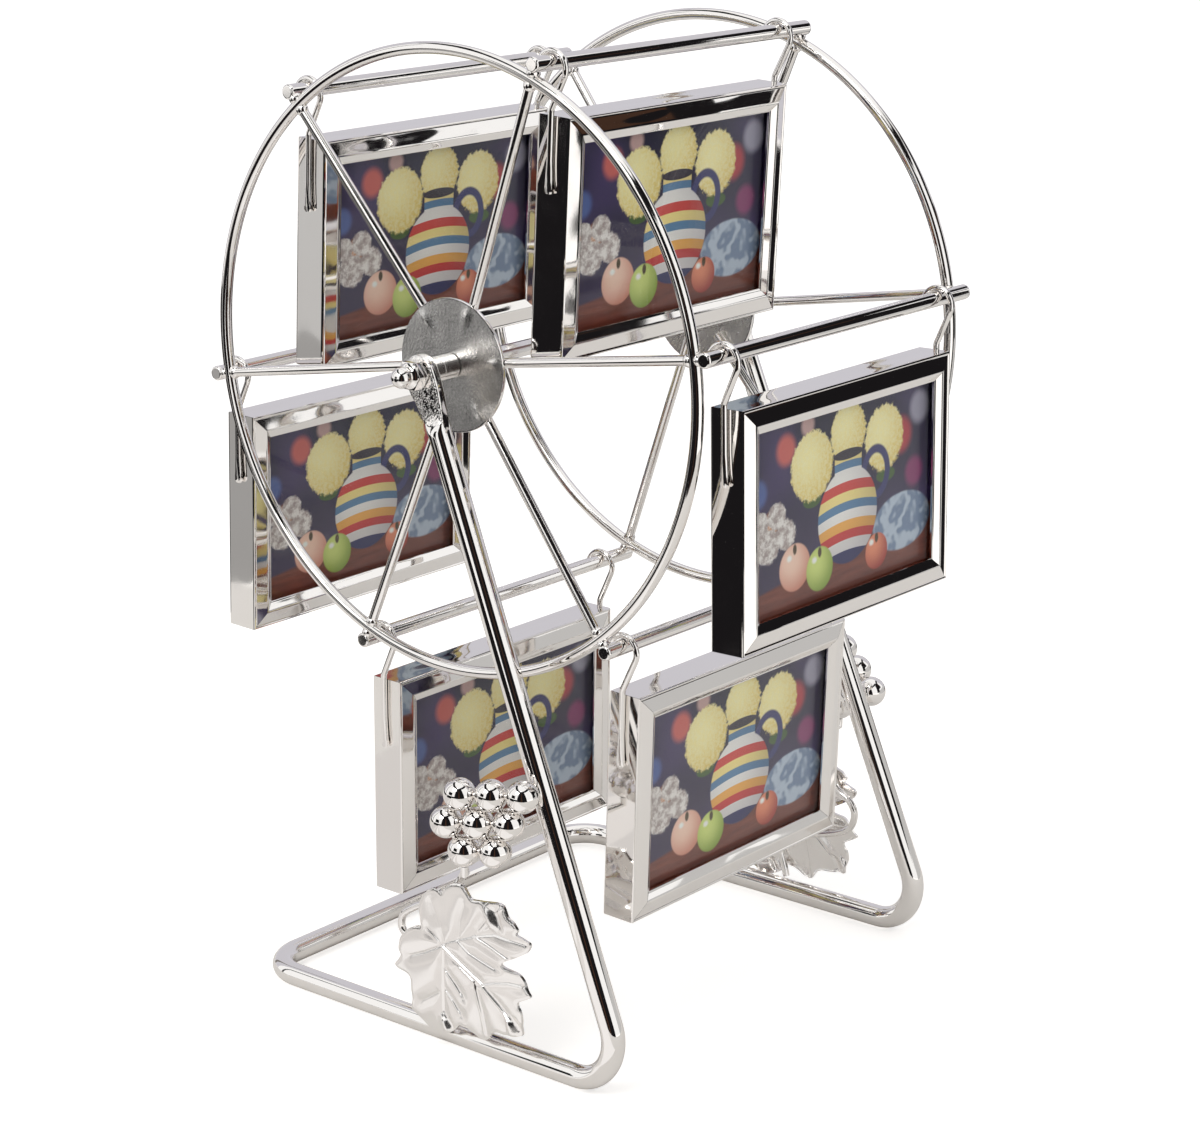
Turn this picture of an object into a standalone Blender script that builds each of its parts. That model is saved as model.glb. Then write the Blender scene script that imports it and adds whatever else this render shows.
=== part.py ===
"""Rotating photo frame: six double-sided picture frames hang from a wire wheel on a bent wire stand.

X runs along the wheel's axle, the pictures face -Y and +Y, and Z points up. The origin lies on the
table, under the middle of the axle. Lengths are in metres and angles in degrees.
"""
import math

import bmesh
import bpy
from mathutils import Vector

# Gap left where pieces touch, and around what turns or hangs on a pin
FIT_GAP = 0.0003

# Hanging picture frames
FRAME_COUNT = 6
FRAME_WIDTH = 0.0861
FRAME_HEIGHT = 0.0586
FRAME_DEPTH = 0.0095
MOULDING_WIDTH = 0.0066
MOULDING_WALL = 0.0012
MOULDING_EDGE = 0.0005
CREST_INSET = 0.0034
CREST_RISE = 0.0009
CREST_LAND = 0.0005
LIP_THICKNESS = 0.0009
PANE_THICKNESS = 0.0012
FRAME_DROP = 0.01255
FRAME_SLIDE = -0.0023
FRAME_LEANS = (-1.0, 3.0, 3.0, 2.0, 0.5, 2.0)

# Wire hooks on the frames' sides
HOOK_WIRE = 0.0016
HOOK_EYE_RADIUS = 0.0034
HOOK_TIP_ANGLE = -20.0
HOOK_KNEE_ABOVE_FRAME = 0.00135
HOOK_KNEE_RADIUS = 0.0025
HOOK_SHANK = 0.01825

# Wheel
RING_RADIUS = 0.0765
RING_WIRE = 0.003
RING_ROOM = 0.00925
BAR_WIRE = 0.0038
BAR_END = 0.0003
BAR_CHAMFER = 0.0004
SPOKE_WIRE = 0.0025
SPOKE_LAP = 0.0076
SPOKE_SINK = 0.0004
HUB_RADIUS = 0.0166
HUB_THICKNESS = 0.001
HUB_INSET = 0.0022
WHEEL_TURN = 8.87

# Axle with its spacers and dome nuts
AXLE_DIAMETER = 0.004
AXLE_CHAMFER = 0.0005
SLEEVE_LENGTH = 0.0085
SLEEVE_WALL = 0.0008
NUT_WALL = 0.0012
NUT_HEX_LENGTH = 0.0032
NUT_CHAMFER = 0.0003
NUT_DOME_WALL = 0.00095
NUT_LENGTH = 0.008
NUT_BORE_DEPTH = 0.0055

# Stand wire
STAND_WIRE = 0.006
STAND_BEND = 0.0115
EAR_RIM = 0.0022
EAR_THICKNESS = 0.003
EAR_CORNER = 0.0008
EAR_FLAT = 0.0085
EAR_BLEND = 0.009
FOOT_FRONT = 0.0679
FOOT_BACK = 0.0564
LEG_SPLAY = 0.004
GROUND_ROOM = 0.01915

# Vine leaf: each point of the outline is an angle from the front, a reach and the fold's lift there
LEAF_THICKNESS = 0.0008
LEAF_FOLD = 0.0009
LEAF_MIDWAY = 0.5
LEAF_FORWARD = 0.0103
LEAF_GROUND_ROOM = 0.0017
LEAF_OUTLINE = (
    (72.4, 0.0192, 0.0), (94.0, 0.0155, 0.5), (105.0, 0.0150, 0.0), (125.0, 0.0132, 1.0),
    (150.0, 0.0134, 0.6), (176.0, 0.0129, 0.0), (195.0, 0.0172, 0.6), (210.0, 0.0192, 0.0),
    (225.0, 0.0173, 1.0), (239.0, 0.0215, 0.0), (250.0, 0.0234, 0.6), (270.0, 0.0255, 0.0),
    (288.0, 0.0243, 1.0), (303.6, 0.0257, 0.0), (314.0, 0.0275, 0.8), (324.2, 0.0301, 0.0),
    (335.0, 0.0260, 1.0), (348.0, 0.0290, 0.0), (355.3, 0.0257, 0.7), (3.0, 0.0195, 1.0),
    (14.0, 0.0289, 0.0), (21.0, 0.0262, 0.6), (39.8, 0.0249, 0.0), (58.0, 0.0171, 1.0),
)

# Bunch of grapes: the first ball sits on the leg, and the rows run back from it
BALL_DIAMETER = 0.0082
BALL_LINK = 0.0028
BALL_PITCH = 0.0081
ROW_PITCH = 0.0072
ROW_STARTS = ((3, 0.0), (3, 0.5), (2, 1.0))
BUNCH_SPLAY = 20.0
BUNCH_TURN = {"left": -4.0, "right": 32.0}
BUNCH_RISE = {"left": 0.0285, "right": 0.0195}

# Stem with its tendril: steps back and up from the leaf's middle, behind the leaf
STEM_WIRE = 0.002
STEM_TOP = {"left": (2, 1), "right": (2, 0)}
STEM_BENDS = {
    "left": ((-0.0068, 0.0212), (-0.0030, 0.0158), (0.0050, 0.0102), (0.0105, 0.0072), (0.0143, 0.0042),
             (0.0147, 0.0005), (0.0110, -0.0025), (0.0055, -0.0070), (0.0025, -0.0130)),
    "right": ((-0.0165, 0.0205), (-0.0205, 0.0130), (-0.0252, 0.0083), (-0.0290, 0.0060), (-0.0307, 0.0025),
              (-0.0292, -0.0018), (-0.0240, -0.0046), (-0.0150, -0.0072), (-0.0060, -0.0110)),
}

# Facets of the round pieces
STAND_SIDES = 12
BAR_SIDES = 12
ROD_SIDES = 16
TUBE_SIDES = 20
CONE_SIDES = 24
HUB_SIDES = 44
THIN_SIDES = 8
HOOK_SIDES = 6
RING_STEPS = 54
FOOT_STEPS = 6
BLEND_STEPS = 4
EYE_STEPS = 11
KNEE_STEPS = 3
DOME_STEPS = 6
BALL_SEGMENTS = 12
BALL_ROWS = 8

SIDES = {"left": -1, "right": 1}
UP = Vector((0, 0, 1))
ALONG = Vector((1, 0, 0))

# What fits together is worked out from the sizes above
bore_radius = AXLE_DIAMETER / 2 + FIT_GAP
ring_x = FRAME_WIDTH / 2 + RING_ROOM
hub_x = ring_x - HUB_INSET
bar_orbit = RING_RADIUS + RING_WIRE / 2 + FIT_GAP + BAR_WIRE / 2
bar_half = ring_x + RING_WIRE / 2 + BAR_END
ear_x = hub_x + HUB_THICKNESS / 2 + FIT_GAP + SLEEVE_LENGTH + FIT_GAP + EAR_THICKNESS / 2
ear_width = 2 * (bore_radius + EAR_RIM)
foot_x = ear_x + LEG_SPLAY
axle_z = bar_orbit + FRAME_DROP + FRAME_HEIGHT + GROUND_ROOM
floor_z = STAND_WIRE / 2 * math.cos(math.pi / STAND_SIDES)
leaf_x = foot_x + STAND_WIRE / 2 + FIT_GAP
leaf_low = min(reach * math.sin(math.radians(angle)) for angle, reach, lift in LEAF_OUTLINE)
leaf_high = max(reach * math.sin(math.radians(angle)) for angle, reach, lift in LEAF_OUTLINE)
leaf_z = LEAF_GROUND_ROOM - leaf_low
eye_drop = HOOK_EYE_RADIUS - BAR_WIRE / 2 - FIT_GAP


def finish(name, colour, roughness, metallic=1.0, alpha=1.0):
    """A plain surface finish."""
    material = bpy.data.materials.new(name)
    material.use_nodes = True
    shader = material.node_tree.nodes["Principled BSDF"]
    shader.inputs["Base Color"].default_value = (*colour, 1)
    shader.inputs["Roughness"].default_value = roughness
    shader.inputs["Metallic"].default_value = metallic
    shader.inputs["Alpha"].default_value = alpha
    return material


def to_mesh(bm, name, sharp=35.0):
    """Turns the built faces outwards and shades the round ones smooth."""
    bmesh.ops.recalc_face_normals(bm, faces=bm.faces)
    mesh = bpy.data.meshes.new(name)
    bm.to_mesh(mesh)
    bm.free()
    mesh.shade_smooth()
    mesh.set_sharp_from_angle(angle=math.radians(sharp))
    return mesh


def place(name, mesh, material=None, location=(0, 0, 0), parent=None):
    """Adds one named piece to the scene."""
    piece = bpy.data.objects.new(name, mesh)
    if material:
        mesh.materials.clear()
        mesh.materials.append(material)
    piece.location = location
    piece.parent = parent
    bpy.context.scene.collection.objects.link(piece)
    return piece


def combine(piece, tool, operation):
    """Joins, cuts or keeps the overlap of a piece and a tool, and removes the tool."""
    step = piece.modifiers.new("combine", "BOOLEAN")
    step.operation = operation
    step.object = tool
    graph = bpy.context.evaluated_depsgraph_get()
    result = bpy.data.meshes.new_from_object(piece.evaluated_get(graph))
    piece.modifiers.remove(step)
    piece.data = result
    bpy.data.objects.remove(tool)


def circle(radius, sides, roll=0.0):
    """Outline of a round section with flats towards both of its axes, before it's rolled."""
    turns = [roll + 2 * math.pi * (i + 0.5) / sides for i in range(sides)]
    return [(radius * math.cos(t), radius * math.sin(t)) for t in turns]


def flattened(width, thickness):
    """Outline of a flattened wire, point for point as circle gives it for the stand's wire."""
    corner = min(EAR_CORNER, width / 4)
    side = thickness / 2
    edge = width / 2
    quarter = [(side, edge / 3), (side, edge - corner), (side - corner, edge)]
    half = quarter + [(-a, b) for a, b in reversed(quarter)]
    return half + [(-a, -b) for a, b in half]


def directions(path, closed):
    """The direction of travel at each point of a path."""
    count = len(path)
    result = []
    for i, point in enumerate(path):
        steps = []
        if closed or i > 0:
            steps.append((point - path[i - 1]).normalized())
        if closed or i < count - 1:
            steps.append((path[(i + 1) % count] - point).normalized())
        result.append(sum(steps, Vector()).normalized())
    return result


def sweep(path, sections, side, closed=False):
    """Runs a section along a path without twist; side is the section's first axis at the start."""
    bm = bmesh.new()
    rings = []
    last = None
    for point, direction, section in zip(path, directions(path, closed), sections):
        if last is not None:
            side = last.rotation_difference(direction) @ side
        side = (side - direction * side.dot(direction)).normalized()
        up = direction.cross(side)
        rings.append([bm.verts.new(point + side * a + up * b) for a, b in section])
        last = direction
    pairs = list(zip(rings, rings[1:]))
    if closed:
        pairs.append((rings[-1], rings[0]))
    for one, two in pairs:
        for i in range(len(one)):
            j = (i + 1) % len(one)
            bm.faces.new((one[i], one[j], two[j], two[i]))
    if not closed:
        bm.faces.new(reversed(rings[0]))
        bm.faces.new(rings[-1])
    return bm


def turned(profile, sides, hollow=False):
    """Spins a profile of (x, radius) points about X; a hollow one closes on itself."""
    bm = bmesh.new()
    rings = []
    for x, radius in profile:
        if radius == 0:
            rings.append([bm.verts.new((x, 0, 0))])
        else:
            rings.append([bm.verts.new((x, a, b)) for a, b in circle(radius, sides)])
    pairs = list(zip(rings, rings[1:]))
    if hollow:
        pairs.append((rings[-1], rings[0]))
    for one, two in pairs:
        for i in range(sides):
            j = (i + 1) % sides
            corners = [one[i % len(one)], one[j % len(one)], two[j % len(two)], two[i % len(two)]]
            bm.faces.new(list(dict.fromkeys(corners)))
    return bm


def rod_outline(half, radius, chamfer):
    """Profile of a rod along X with chamfered ends."""
    end = [(half - chamfer, radius), (half, radius - chamfer), (half, 0)]
    return [(-x, r) for x, r in reversed(end)] + end


def bend(before, corner, after, radius, steps):
    """The arc that rounds one corner of a bent wire."""
    one = (before - corner).normalized()
    two = (after - corner).normalized()
    half = one.angle(two) / 2
    centre = corner + (one + two).normalized() * radius / math.sin(half)
    start = corner + one * radius / math.tan(half) - centre
    sweep_axis = one.cross(two).normalized()
    arc = math.pi - 2 * half
    points = []
    for i in range(steps + 1):
        turn = -arc * i / steps
        points.append(centre + start * math.cos(turn) + sweep_axis.cross(start) * math.sin(turn))
    return points


def smooth_path(points, steps):
    """A smooth curve through hand-set points."""
    ends = [points[0] * 2 - points[1]] + list(points) + [points[-1] * 2 - points[-2]]
    result = []
    for a, b, c, d in zip(ends, ends[1:], ends[2:], ends[3:]):
        for i in range(steps):
            t = i / steps
            result.append(0.5 * (2 * b + (c - a) * t + (2 * a - 5 * b + 4 * c - d) * t ** 2
                                 + (3 * b - a - 3 * c + d) * t ** 3))
    return result + [points[-1]]


def block(size):
    """A plain rectangular plate, centred."""
    bm = bmesh.new()
    bmesh.ops.create_cube(bm, size=1)
    bmesh.ops.scale(bm, vec=size, verts=bm.verts)
    return bm


def wheel_direction(angle):
    """Unit vector in the wheel's plane; angle 0 points to the front and 90 degrees up."""
    turn = math.radians(angle)
    return Vector((0, -math.cos(turn), math.sin(turn)))


def leg_point(height):
    """The right leg's centreline at a height below the ear."""
    run = (axle_z - height) / (axle_z - floor_z)
    down = Vector((0, -FOOT_FRONT, floor_z - axle_z)).normalized()
    neck_z = axle_z + down.z * EAR_FLAT
    lean = (neck_z - height) / (neck_z - floor_z)
    return Vector((ear_x + LEG_SPLAY * lean, -FOOT_FRONT * run, height))


# Stand


def make_stand(metal):
    """One wire: ear, leg, floor bar, back bar, floor bar, leg and ear."""
    axle = Vector((ear_x, 0, axle_z))
    foot = Vector((foot_x, -FOOT_FRONT, floor_z))
    heel = Vector((foot_x, FOOT_BACK, floor_z))
    down = Vector((0, foot.y, floor_z - axle_z)).normalized()
    top = axle - down * ear_width / 2
    neck = axle + down * EAR_FLAT
    run = (foot - neck).normalized()
    path = []
    sections = []
    for turn in (15, 35, 55, 75, 90):
        reach = ear_width / 2 * (1 - math.cos(math.radians(turn)))
        path.append(top + down * reach)
        sections.append(flattened(ear_width * math.sin(math.radians(turn)), EAR_THICKNESS))
    # The splayed leg rolls the section a little, which would tilt the flats that stand on the table
    side = run.rotation_difference(Vector((0, 1, 0))) @ (down.rotation_difference(run) @ ALONG)
    wire = circle(STAND_WIRE / 2, STAND_SIDES, math.atan2(side.z, side.x))
    flat = flattened(ear_width, EAR_THICKNESS)
    for i in range(BLEND_STEPS + 1):
        share = i / BLEND_STEPS
        ease = share * share * (3 - 2 * share)
        path.append(neck + run * EAR_BLEND * share)
        sections.append([(a + (c - a) * ease, b + (d - b) * ease) for (a, b), (c, d) in zip(flat, wire)])
    path += bend(neck, foot, heel, STAND_BEND, FOOT_STEPS + 1)
    path += bend(foot, heel, Vector((-heel.x, heel.y, heel.z)), STAND_BEND, FOOT_STEPS)
    sections += [wire] * (len(path) - len(sections))
    path += [Vector((-p.x, p.y, p.z)) for p in reversed(path)]
    sections += list(reversed(sections))
    stand = place("stand_wire", to_mesh(sweep(path, sections, ALONG), "stand_wire"))
    reach = 2 * ear_x
    drill = turned([(-reach, 0), (-reach, bore_radius), (reach, bore_radius), (reach, 0)], ROD_SIDES)
    combine(stand, place("drill", to_mesh(drill, "drill"), location=(0, 0, axle_z)), "DIFFERENCE")
    stand.data.materials.append(metal)


def make_axle(metal, steel):
    """Through axle, two spacer sleeves and two dome nuts outside the ears."""
    seat = ear_x + EAR_THICKNESS / 2 + FIT_GAP
    half = seat + NUT_BORE_DEPTH - FIT_GAP
    rod = rod_outline(half, AXLE_DIAMETER / 2, AXLE_CHAMFER)
    place("axle_rod", to_mesh(turned(rod, ROD_SIDES), "axle_rod"), steel, (0, 0, axle_z))

    outer = bore_radius + SLEEVE_WALL
    length = SLEEVE_LENGTH / 2
    tube = [(-length, bore_radius), (length, bore_radius), (length, outer), (-length, outer)]
    sleeve = to_mesh(turned(tube, TUBE_SIDES, hollow=True), "sleeve")

    flats = bore_radius + NUT_WALL
    corner = flats / math.cos(math.pi / 6)
    dome = bore_radius + NUT_DOME_WALL
    hexagon = turned([(0, 0), (0, corner), (NUT_HEX_LENGTH, corner), (NUT_HEX_LENGTH, 0)], 6)
    chamfer = [(0, 0), (0, flats), (NUT_CHAMFER, corner), (NUT_HEX_LENGTH - NUT_CHAMFER, corner),
               (NUT_HEX_LENGTH, flats), (NUT_HEX_LENGTH, 0)]
    cap = [(NUT_HEX_LENGTH / 2, 0), (NUT_HEX_LENGTH / 2, dome)]
    for i in range(DOME_STEPS):
        turn = math.radians(90 * i / DOME_STEPS)
        cap.append((NUT_LENGTH - dome + dome * math.sin(turn), dome * math.cos(turn)))
    cap.append((NUT_LENGTH, 0))
    depth = NUT_BORE_DEPTH
    bore = [(-depth, 0), (-depth, bore_radius), (depth, bore_radius), (depth, 0)]
    nut = place("cap_nut_right", to_mesh(hexagon, "nut"), location=(seat, 0, axle_z))
    cuts = (
        (chamfer, CONE_SIDES, "INTERSECT"),
        (cap, TUBE_SIDES, "UNION"),
        (bore, ROD_SIDES, "DIFFERENCE"),
    )
    for outline, sides, operation in cuts:
        tool = to_mesh(turned(outline, sides), "tool")
        combine(nut, place("tool", tool, location=nut.location), operation)
    nut.data.set_sharp_from_angle(angle=math.radians(35))
    nut.data.materials.append(metal)
    other = place("cap_nut_left", nut.data, location=(-seat, 0, axle_z))
    other.rotation_euler = (0, 0, math.pi)

    middle = ear_x - EAR_THICKNESS / 2 - FIT_GAP - length
    for side, sign in SIDES.items():
        place(f"sleeve_{side}", sleeve, metal, (sign * middle, 0, axle_z))


# Ornaments on the stand's sides


def ball_centres(side):
    """Where the balls of one bunch lie, row by row."""
    sign = SIDES[side]
    first = leg_point(leaf_z + leaf_high + BUNCH_RISE[side])
    first.x = sign * (first.x + STAND_WIRE / 2 + FIT_GAP + BALL_DIAMETER / 2)
    splay = math.radians(BUNCH_SPLAY)
    turn = math.radians(BUNCH_TURN[side])
    back = Vector((sign * math.sin(splay), math.cos(splay), 0))
    row = back * math.cos(turn) + UP * math.sin(turn)
    down = back * math.sin(turn) - UP * math.cos(turn)
    return [[first + row * BALL_PITCH * (start + i) + down * ROW_PITCH * line for i in range(count)]
            for line, (count, start) in enumerate(ROW_STARTS)]


def make_grapes(side, metal):
    """Balls soldered to their neighbours by short necks."""
    centres = [centre for row in ball_centres(side) for centre in row]
    bunch = None
    for centre in centres:
        bm = bmesh.new()
        radius = BALL_DIAMETER / 2
        bmesh.ops.create_uvsphere(bm, u_segments=BALL_SEGMENTS, v_segments=BALL_ROWS, radius=radius)
        ball = place("ball", to_mesh(bm, "ball", 60), location=centre)
        if bunch is None:
            bunch = ball
            bunch.data.transform(bunch.matrix_basis)
            bunch.location = (0, 0, 0)
            bunch.name = f"grapes_{side}"
        else:
            combine(bunch, ball, "UNION")
    near = 1.2 * BALL_PITCH
    for i, one in enumerate(centres):
        for two in centres[i + 1:]:
            if (two - one).length < near:
                neck = sweep([one, two], [circle(BALL_LINK / 2, HOOK_SIDES)] * 2, UP)
                combine(bunch, place("neck", to_mesh(neck, "neck")), "UNION")
    bunch.data.set_sharp_from_angle(angle=math.radians(60))
    bunch.data.materials.append(metal)


def leaf_round(sign, face_x, share, fold):
    """One round of points on a face of the leaf, at a share of its reach."""
    points = []
    for angle, reach, lift in LEAF_OUTLINE:
        turn = math.radians(angle)
        y = -LEAF_FORWARD - reach * share * math.cos(turn)
        points.append(Vector((sign * (face_x + lift * fold), y, leaf_z + reach * share * math.sin(turn))))
    return points


def make_leaf(side, metal):
    """Stamped sheet, folded along veins that run from its middle to the tips."""
    sign = SIDES[side]
    count = len(LEAF_OUTLINE)
    bm = bmesh.new()
    rims = []
    for face_x in (leaf_x + LEAF_THICKNESS, leaf_x):
        middle = bm.verts.new((sign * face_x, -LEAF_FORWARD, leaf_z))
        inner = [bm.verts.new(p) for p in leaf_round(sign, face_x, LEAF_MIDWAY, 0.9 * LEAF_FOLD)]
        outer = [bm.verts.new(p) for p in leaf_round(sign, face_x, 1.0, LEAF_FOLD)]
        rims.append(outer)
        for i in range(count):
            j = (i + 1) % count
            bm.faces.new((middle, inner[i], inner[j]))
            bm.faces.new((inner[i], outer[i], outer[j]))
            bm.faces.new((inner[i], outer[j], inner[j]))
    front, back = rims
    for i in range(count):
        j = (i + 1) % count
        bm.faces.new((front[i], back[i], back[j]))
        bm.faces.new((front[i], back[j], front[j]))
    place(f"leaf_{side}", to_mesh(bm, f"leaf_{side}", 12), metal)


def make_stem(side, metal):
    """Wire from under the bunch, behind the leaf, round its tendril and down to the floor bar."""
    sign = SIDES[side]
    line, place_in_row = STEM_TOP[side]
    ball = ball_centres(side)[line][place_in_row]
    start = ball - UP * (BALL_DIAMETER / 2 + FIT_GAP)
    behind = sign * (leaf_x - FIT_GAP - STEM_WIRE / 2)
    route = [Vector((behind, y - LEAF_FORWARD, leaf_z + z)) for y, z in STEM_BENDS[side]]
    foot = Vector((behind, route[-1].y - STEM_WIRE, 2 * floor_z + FIT_GAP))
    path = [start] + smooth_path([start - UP * STEM_WIRE] + route + [foot], 2)
    bm = sweep(path, [circle(STEM_WIRE / 2, HOOK_SIDES)] * len(path), ALONG)
    place(f"stem_{side}", to_mesh(bm, f"stem_{side}"), metal)


# Wheel


def make_ring(side, metal, axis):
    """Wire ring, closed by its weld."""
    path = [wheel_direction(360 * i / RING_STEPS) * RING_RADIUS for i in range(RING_STEPS)]
    bm = sweep(path, [circle(RING_WIRE / 2, THIN_SIDES)] * RING_STEPS, ALONG, closed=True)
    place(f"ring_{side}", to_mesh(bm, "ring"), metal, (SIDES[side] * ring_x, 0, 0), axis)


def make_hub(side, metal, axis):
    """Pressed disc with the spokes welded to its inner face."""
    sign = SIDES[side]
    half = HUB_THICKNESS / 2
    inside = sign * (hub_x - half)
    outside = sign * (hub_x + half)
    disc = [(inside, bore_radius), (outside, bore_radius), (outside, HUB_RADIUS), (inside, HUB_RADIUS)]
    hub = place(f"hub_{side}", to_mesh(turned(disc, HUB_SIDES, hollow=True), "hub"))
    root_x = hub_x - half - SPOKE_WIRE / 2 + SPOKE_SINK
    tip_reach = RING_RADIUS - RING_WIRE / 2 - FIT_GAP
    for k in range(FRAME_COUNT):
        out = wheel_direction(WHEEL_TURN + 360 * k / FRAME_COUNT)
        root = Vector((sign * root_x, 0, 0)) + out * (HUB_RADIUS - SPOKE_LAP)
        tip = Vector((sign * ring_x, 0, 0)) + out * tip_reach
        bm = sweep([root, tip], [circle(SPOKE_WIRE / 2, THIN_SIDES)] * 2, ALONG)
        combine(hub, place("spoke", to_mesh(bm, "spoke")), "UNION")
    hub.data.set_sharp_from_angle(angle=math.radians(50))
    hub.data.materials.append(metal)
    hub.parent = axis


def make_bar_mesh():
    """Cross bar that one frame hangs on."""
    return to_mesh(turned(rod_outline(bar_half, BAR_WIRE / 2, BAR_CHAMFER), BAR_SIDES), "bar")


# Hanging frames


def make_casing_mesh():
    """Double-sided moulding, mitred at its corners and open to both faces."""
    face = FRAME_DEPTH / 2
    front = [
        (0, face - MOULDING_EDGE), (MOULDING_EDGE, face), (CREST_INSET, face + CREST_RISE),
        (CREST_INSET + CREST_LAND, face + CREST_RISE), (MOULDING_WIDTH - MOULDING_EDGE, face),
        (MOULDING_WIDTH, face - LIP_THICKNESS / 3), (MOULDING_WIDTH, face - LIP_THICKNESS),
        (MOULDING_WALL, face - LIP_THICKNESS),
    ]
    profile = front + [(inset, -depth) for inset, depth in reversed(front)]
    bm = bmesh.new()
    corners = []
    for right, top in ((-1, -1), (1, -1), (1, 1), (-1, 1)):
        corner = []
        for inset, depth in profile:
            x = right * (FRAME_WIDTH / 2 - inset)
            z = top * (FRAME_HEIGHT / 2 - inset)
            corner.append(bm.verts.new((x, -depth, z)))
        corners.append(corner)
    for one, two in zip(corners, corners[1:] + corners[:1]):
        for i in range(len(profile)):
            j = (i + 1) % len(profile)
            bm.faces.new((one[i], one[j], two[j], two[i]))
    return to_mesh(bm, "casing", 10)


def make_hook_mesh():
    """Wire hook in the YZ plane, measured from the bar's axis."""
    wire_radius = HOOK_WIRE / 2
    radius = HOOK_EYE_RADIUS + wire_radius
    centre = Vector((0, 0, -eye_drop))
    knee = Vector((0, 0, HOOK_KNEE_ABOVE_FRAME - FRAME_DROP))
    slope = math.degrees(math.acos(radius / (centre.z - knee.z)))
    path = []
    for i in range(EYE_STEPS + 1):
        turn = math.radians(HOOK_TIP_ANGLE + (270 - slope - HOOK_TIP_ANGLE) * i / EYE_STEPS)
        path.append(centre + Vector((0, math.cos(turn), math.sin(turn))) * radius)
    end = Vector((0, 0, -FRAME_DROP - HOOK_SHANK))
    path += bend(path[-1], knee, end, HOOK_KNEE_RADIUS, KNEE_STEPS)
    path.append(end)
    return to_mesh(sweep(path, [circle(wire_radius, HOOK_SIDES)] * len(path), ALONG), "hook")


def make_frames(metal, glass, card, axis):
    """Six alike frames, each with its pivot on its bar."""
    casing = make_casing_mesh()
    hook = make_hook_mesh()
    seat = FRAME_DEPTH / 2 - LIP_THICKNESS - FIT_GAP
    inner_width = FRAME_WIDTH - 2 * (MOULDING_WALL + FIT_GAP)
    inner_height = FRAME_HEIGHT - 2 * (MOULDING_WALL + FIT_GAP)
    pane = to_mesh(block((inner_width, PANE_THICKNESS, inner_height)), "pane")
    board = 2 * (seat - PANE_THICKNESS - FIT_GAP)
    insert = to_mesh(block((inner_width, board, inner_height)), "insert")
    bar = make_bar_mesh()
    middle = Vector((0, 0, -FRAME_DROP - FRAME_HEIGHT / 2))
    pane_y = seat - PANE_THICKNESS / 2
    hook_x = FRAME_WIDTH / 2 + FIT_GAP + HOOK_WIRE / 2
    for k in range(FRAME_COUNT):
        number = k + 1
        at = wheel_direction(WHEEL_TURN + 360 * k / FRAME_COUNT) * bar_orbit
        place(f"bar_{number}", bar, metal, at, axis)
        pivot = bpy.data.objects.new(f"pivot_{number}", None)
        bpy.context.scene.collection.objects.link(pivot)
        pivot.parent = axis
        pivot.location = at + ALONG * FRAME_SLIDE
        pivot.rotation_euler.x = math.radians(FRAME_LEANS[k % len(FRAME_LEANS)])
        place(f"frame_{number}_casing", casing, metal, middle, pivot)
        place(f"frame_{number}_front_pane", pane, glass, middle + Vector((0, -pane_y, 0)), pivot)
        place(f"frame_{number}_back_pane", pane, glass, middle + Vector((0, pane_y, 0)), pivot)
        place(f"frame_{number}_insert", insert, card, middle, pivot)
        place(f"frame_{number}_left_hook", hook, metal, (-hook_x, 0, 0), pivot)
        place(f"frame_{number}_right_hook", hook, metal, (hook_x, 0, 0), pivot)


# Build

for old in list(bpy.data.objects):
    bpy.data.objects.remove(old)

nickel = finish("nickel", (0.82, 0.81, 0.79), 0.08)
satin = finish("satin_nickel", (0.62, 0.61, 0.59), 0.3)
clear = finish("clear_pane", (0.9, 0.92, 0.93), 0.02, metallic=0.0, alpha=0.25)
print_card = finish("picture_card", (0.30, 0.22, 0.30), 0.45, metallic=0.0)

make_stand(nickel)
make_axle(nickel, satin)
for side in SIDES:
    make_grapes(side, nickel)
    make_leaf(side, nickel)
    make_stem(side, nickel)

wheel_axis = bpy.data.objects.new("wheel_axis", None)
bpy.context.scene.collection.objects.link(wheel_axis)
wheel_axis.location = (0, 0, axle_z)
for side in SIDES:
    make_ring(side, nickel, wheel_axis)
    make_hub(side, satin, wheel_axis)
make_frames(nickel, clear, print_card, wheel_axis)
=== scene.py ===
"""Rotating photo frame: the looks of its plated wires, stamped leaves, glazed frames and prints.

Lengths are in millimetres, and each mesh is brought to metres when its piece is made. X runs along the
axle, the front pictures face -Y, and Z points up from the table.
"""
import math

import bmesh
import bpy
import numpy as np
from mathutils import Matrix, Vector
from mathutils.geometry import delaunay_2d_cdt


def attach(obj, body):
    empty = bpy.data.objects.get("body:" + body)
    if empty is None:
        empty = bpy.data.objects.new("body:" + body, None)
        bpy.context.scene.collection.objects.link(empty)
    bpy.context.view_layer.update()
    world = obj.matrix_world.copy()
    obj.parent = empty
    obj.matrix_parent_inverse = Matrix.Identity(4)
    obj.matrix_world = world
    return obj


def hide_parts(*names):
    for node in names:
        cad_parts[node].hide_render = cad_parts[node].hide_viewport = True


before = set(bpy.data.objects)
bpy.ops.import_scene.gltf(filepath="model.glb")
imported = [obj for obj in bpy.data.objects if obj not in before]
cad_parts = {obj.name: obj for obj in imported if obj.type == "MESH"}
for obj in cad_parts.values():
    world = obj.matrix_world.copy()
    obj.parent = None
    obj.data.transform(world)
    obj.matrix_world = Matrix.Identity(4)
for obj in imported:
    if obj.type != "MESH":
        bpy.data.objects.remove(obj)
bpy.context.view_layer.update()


# Stand. One 6 mm steel wire is bent into two front legs, two floor bars and a back bar. Its ends are
# hammered flat into ears and drilled for the axle, and the whole wire is polished and nickel plated.


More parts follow.
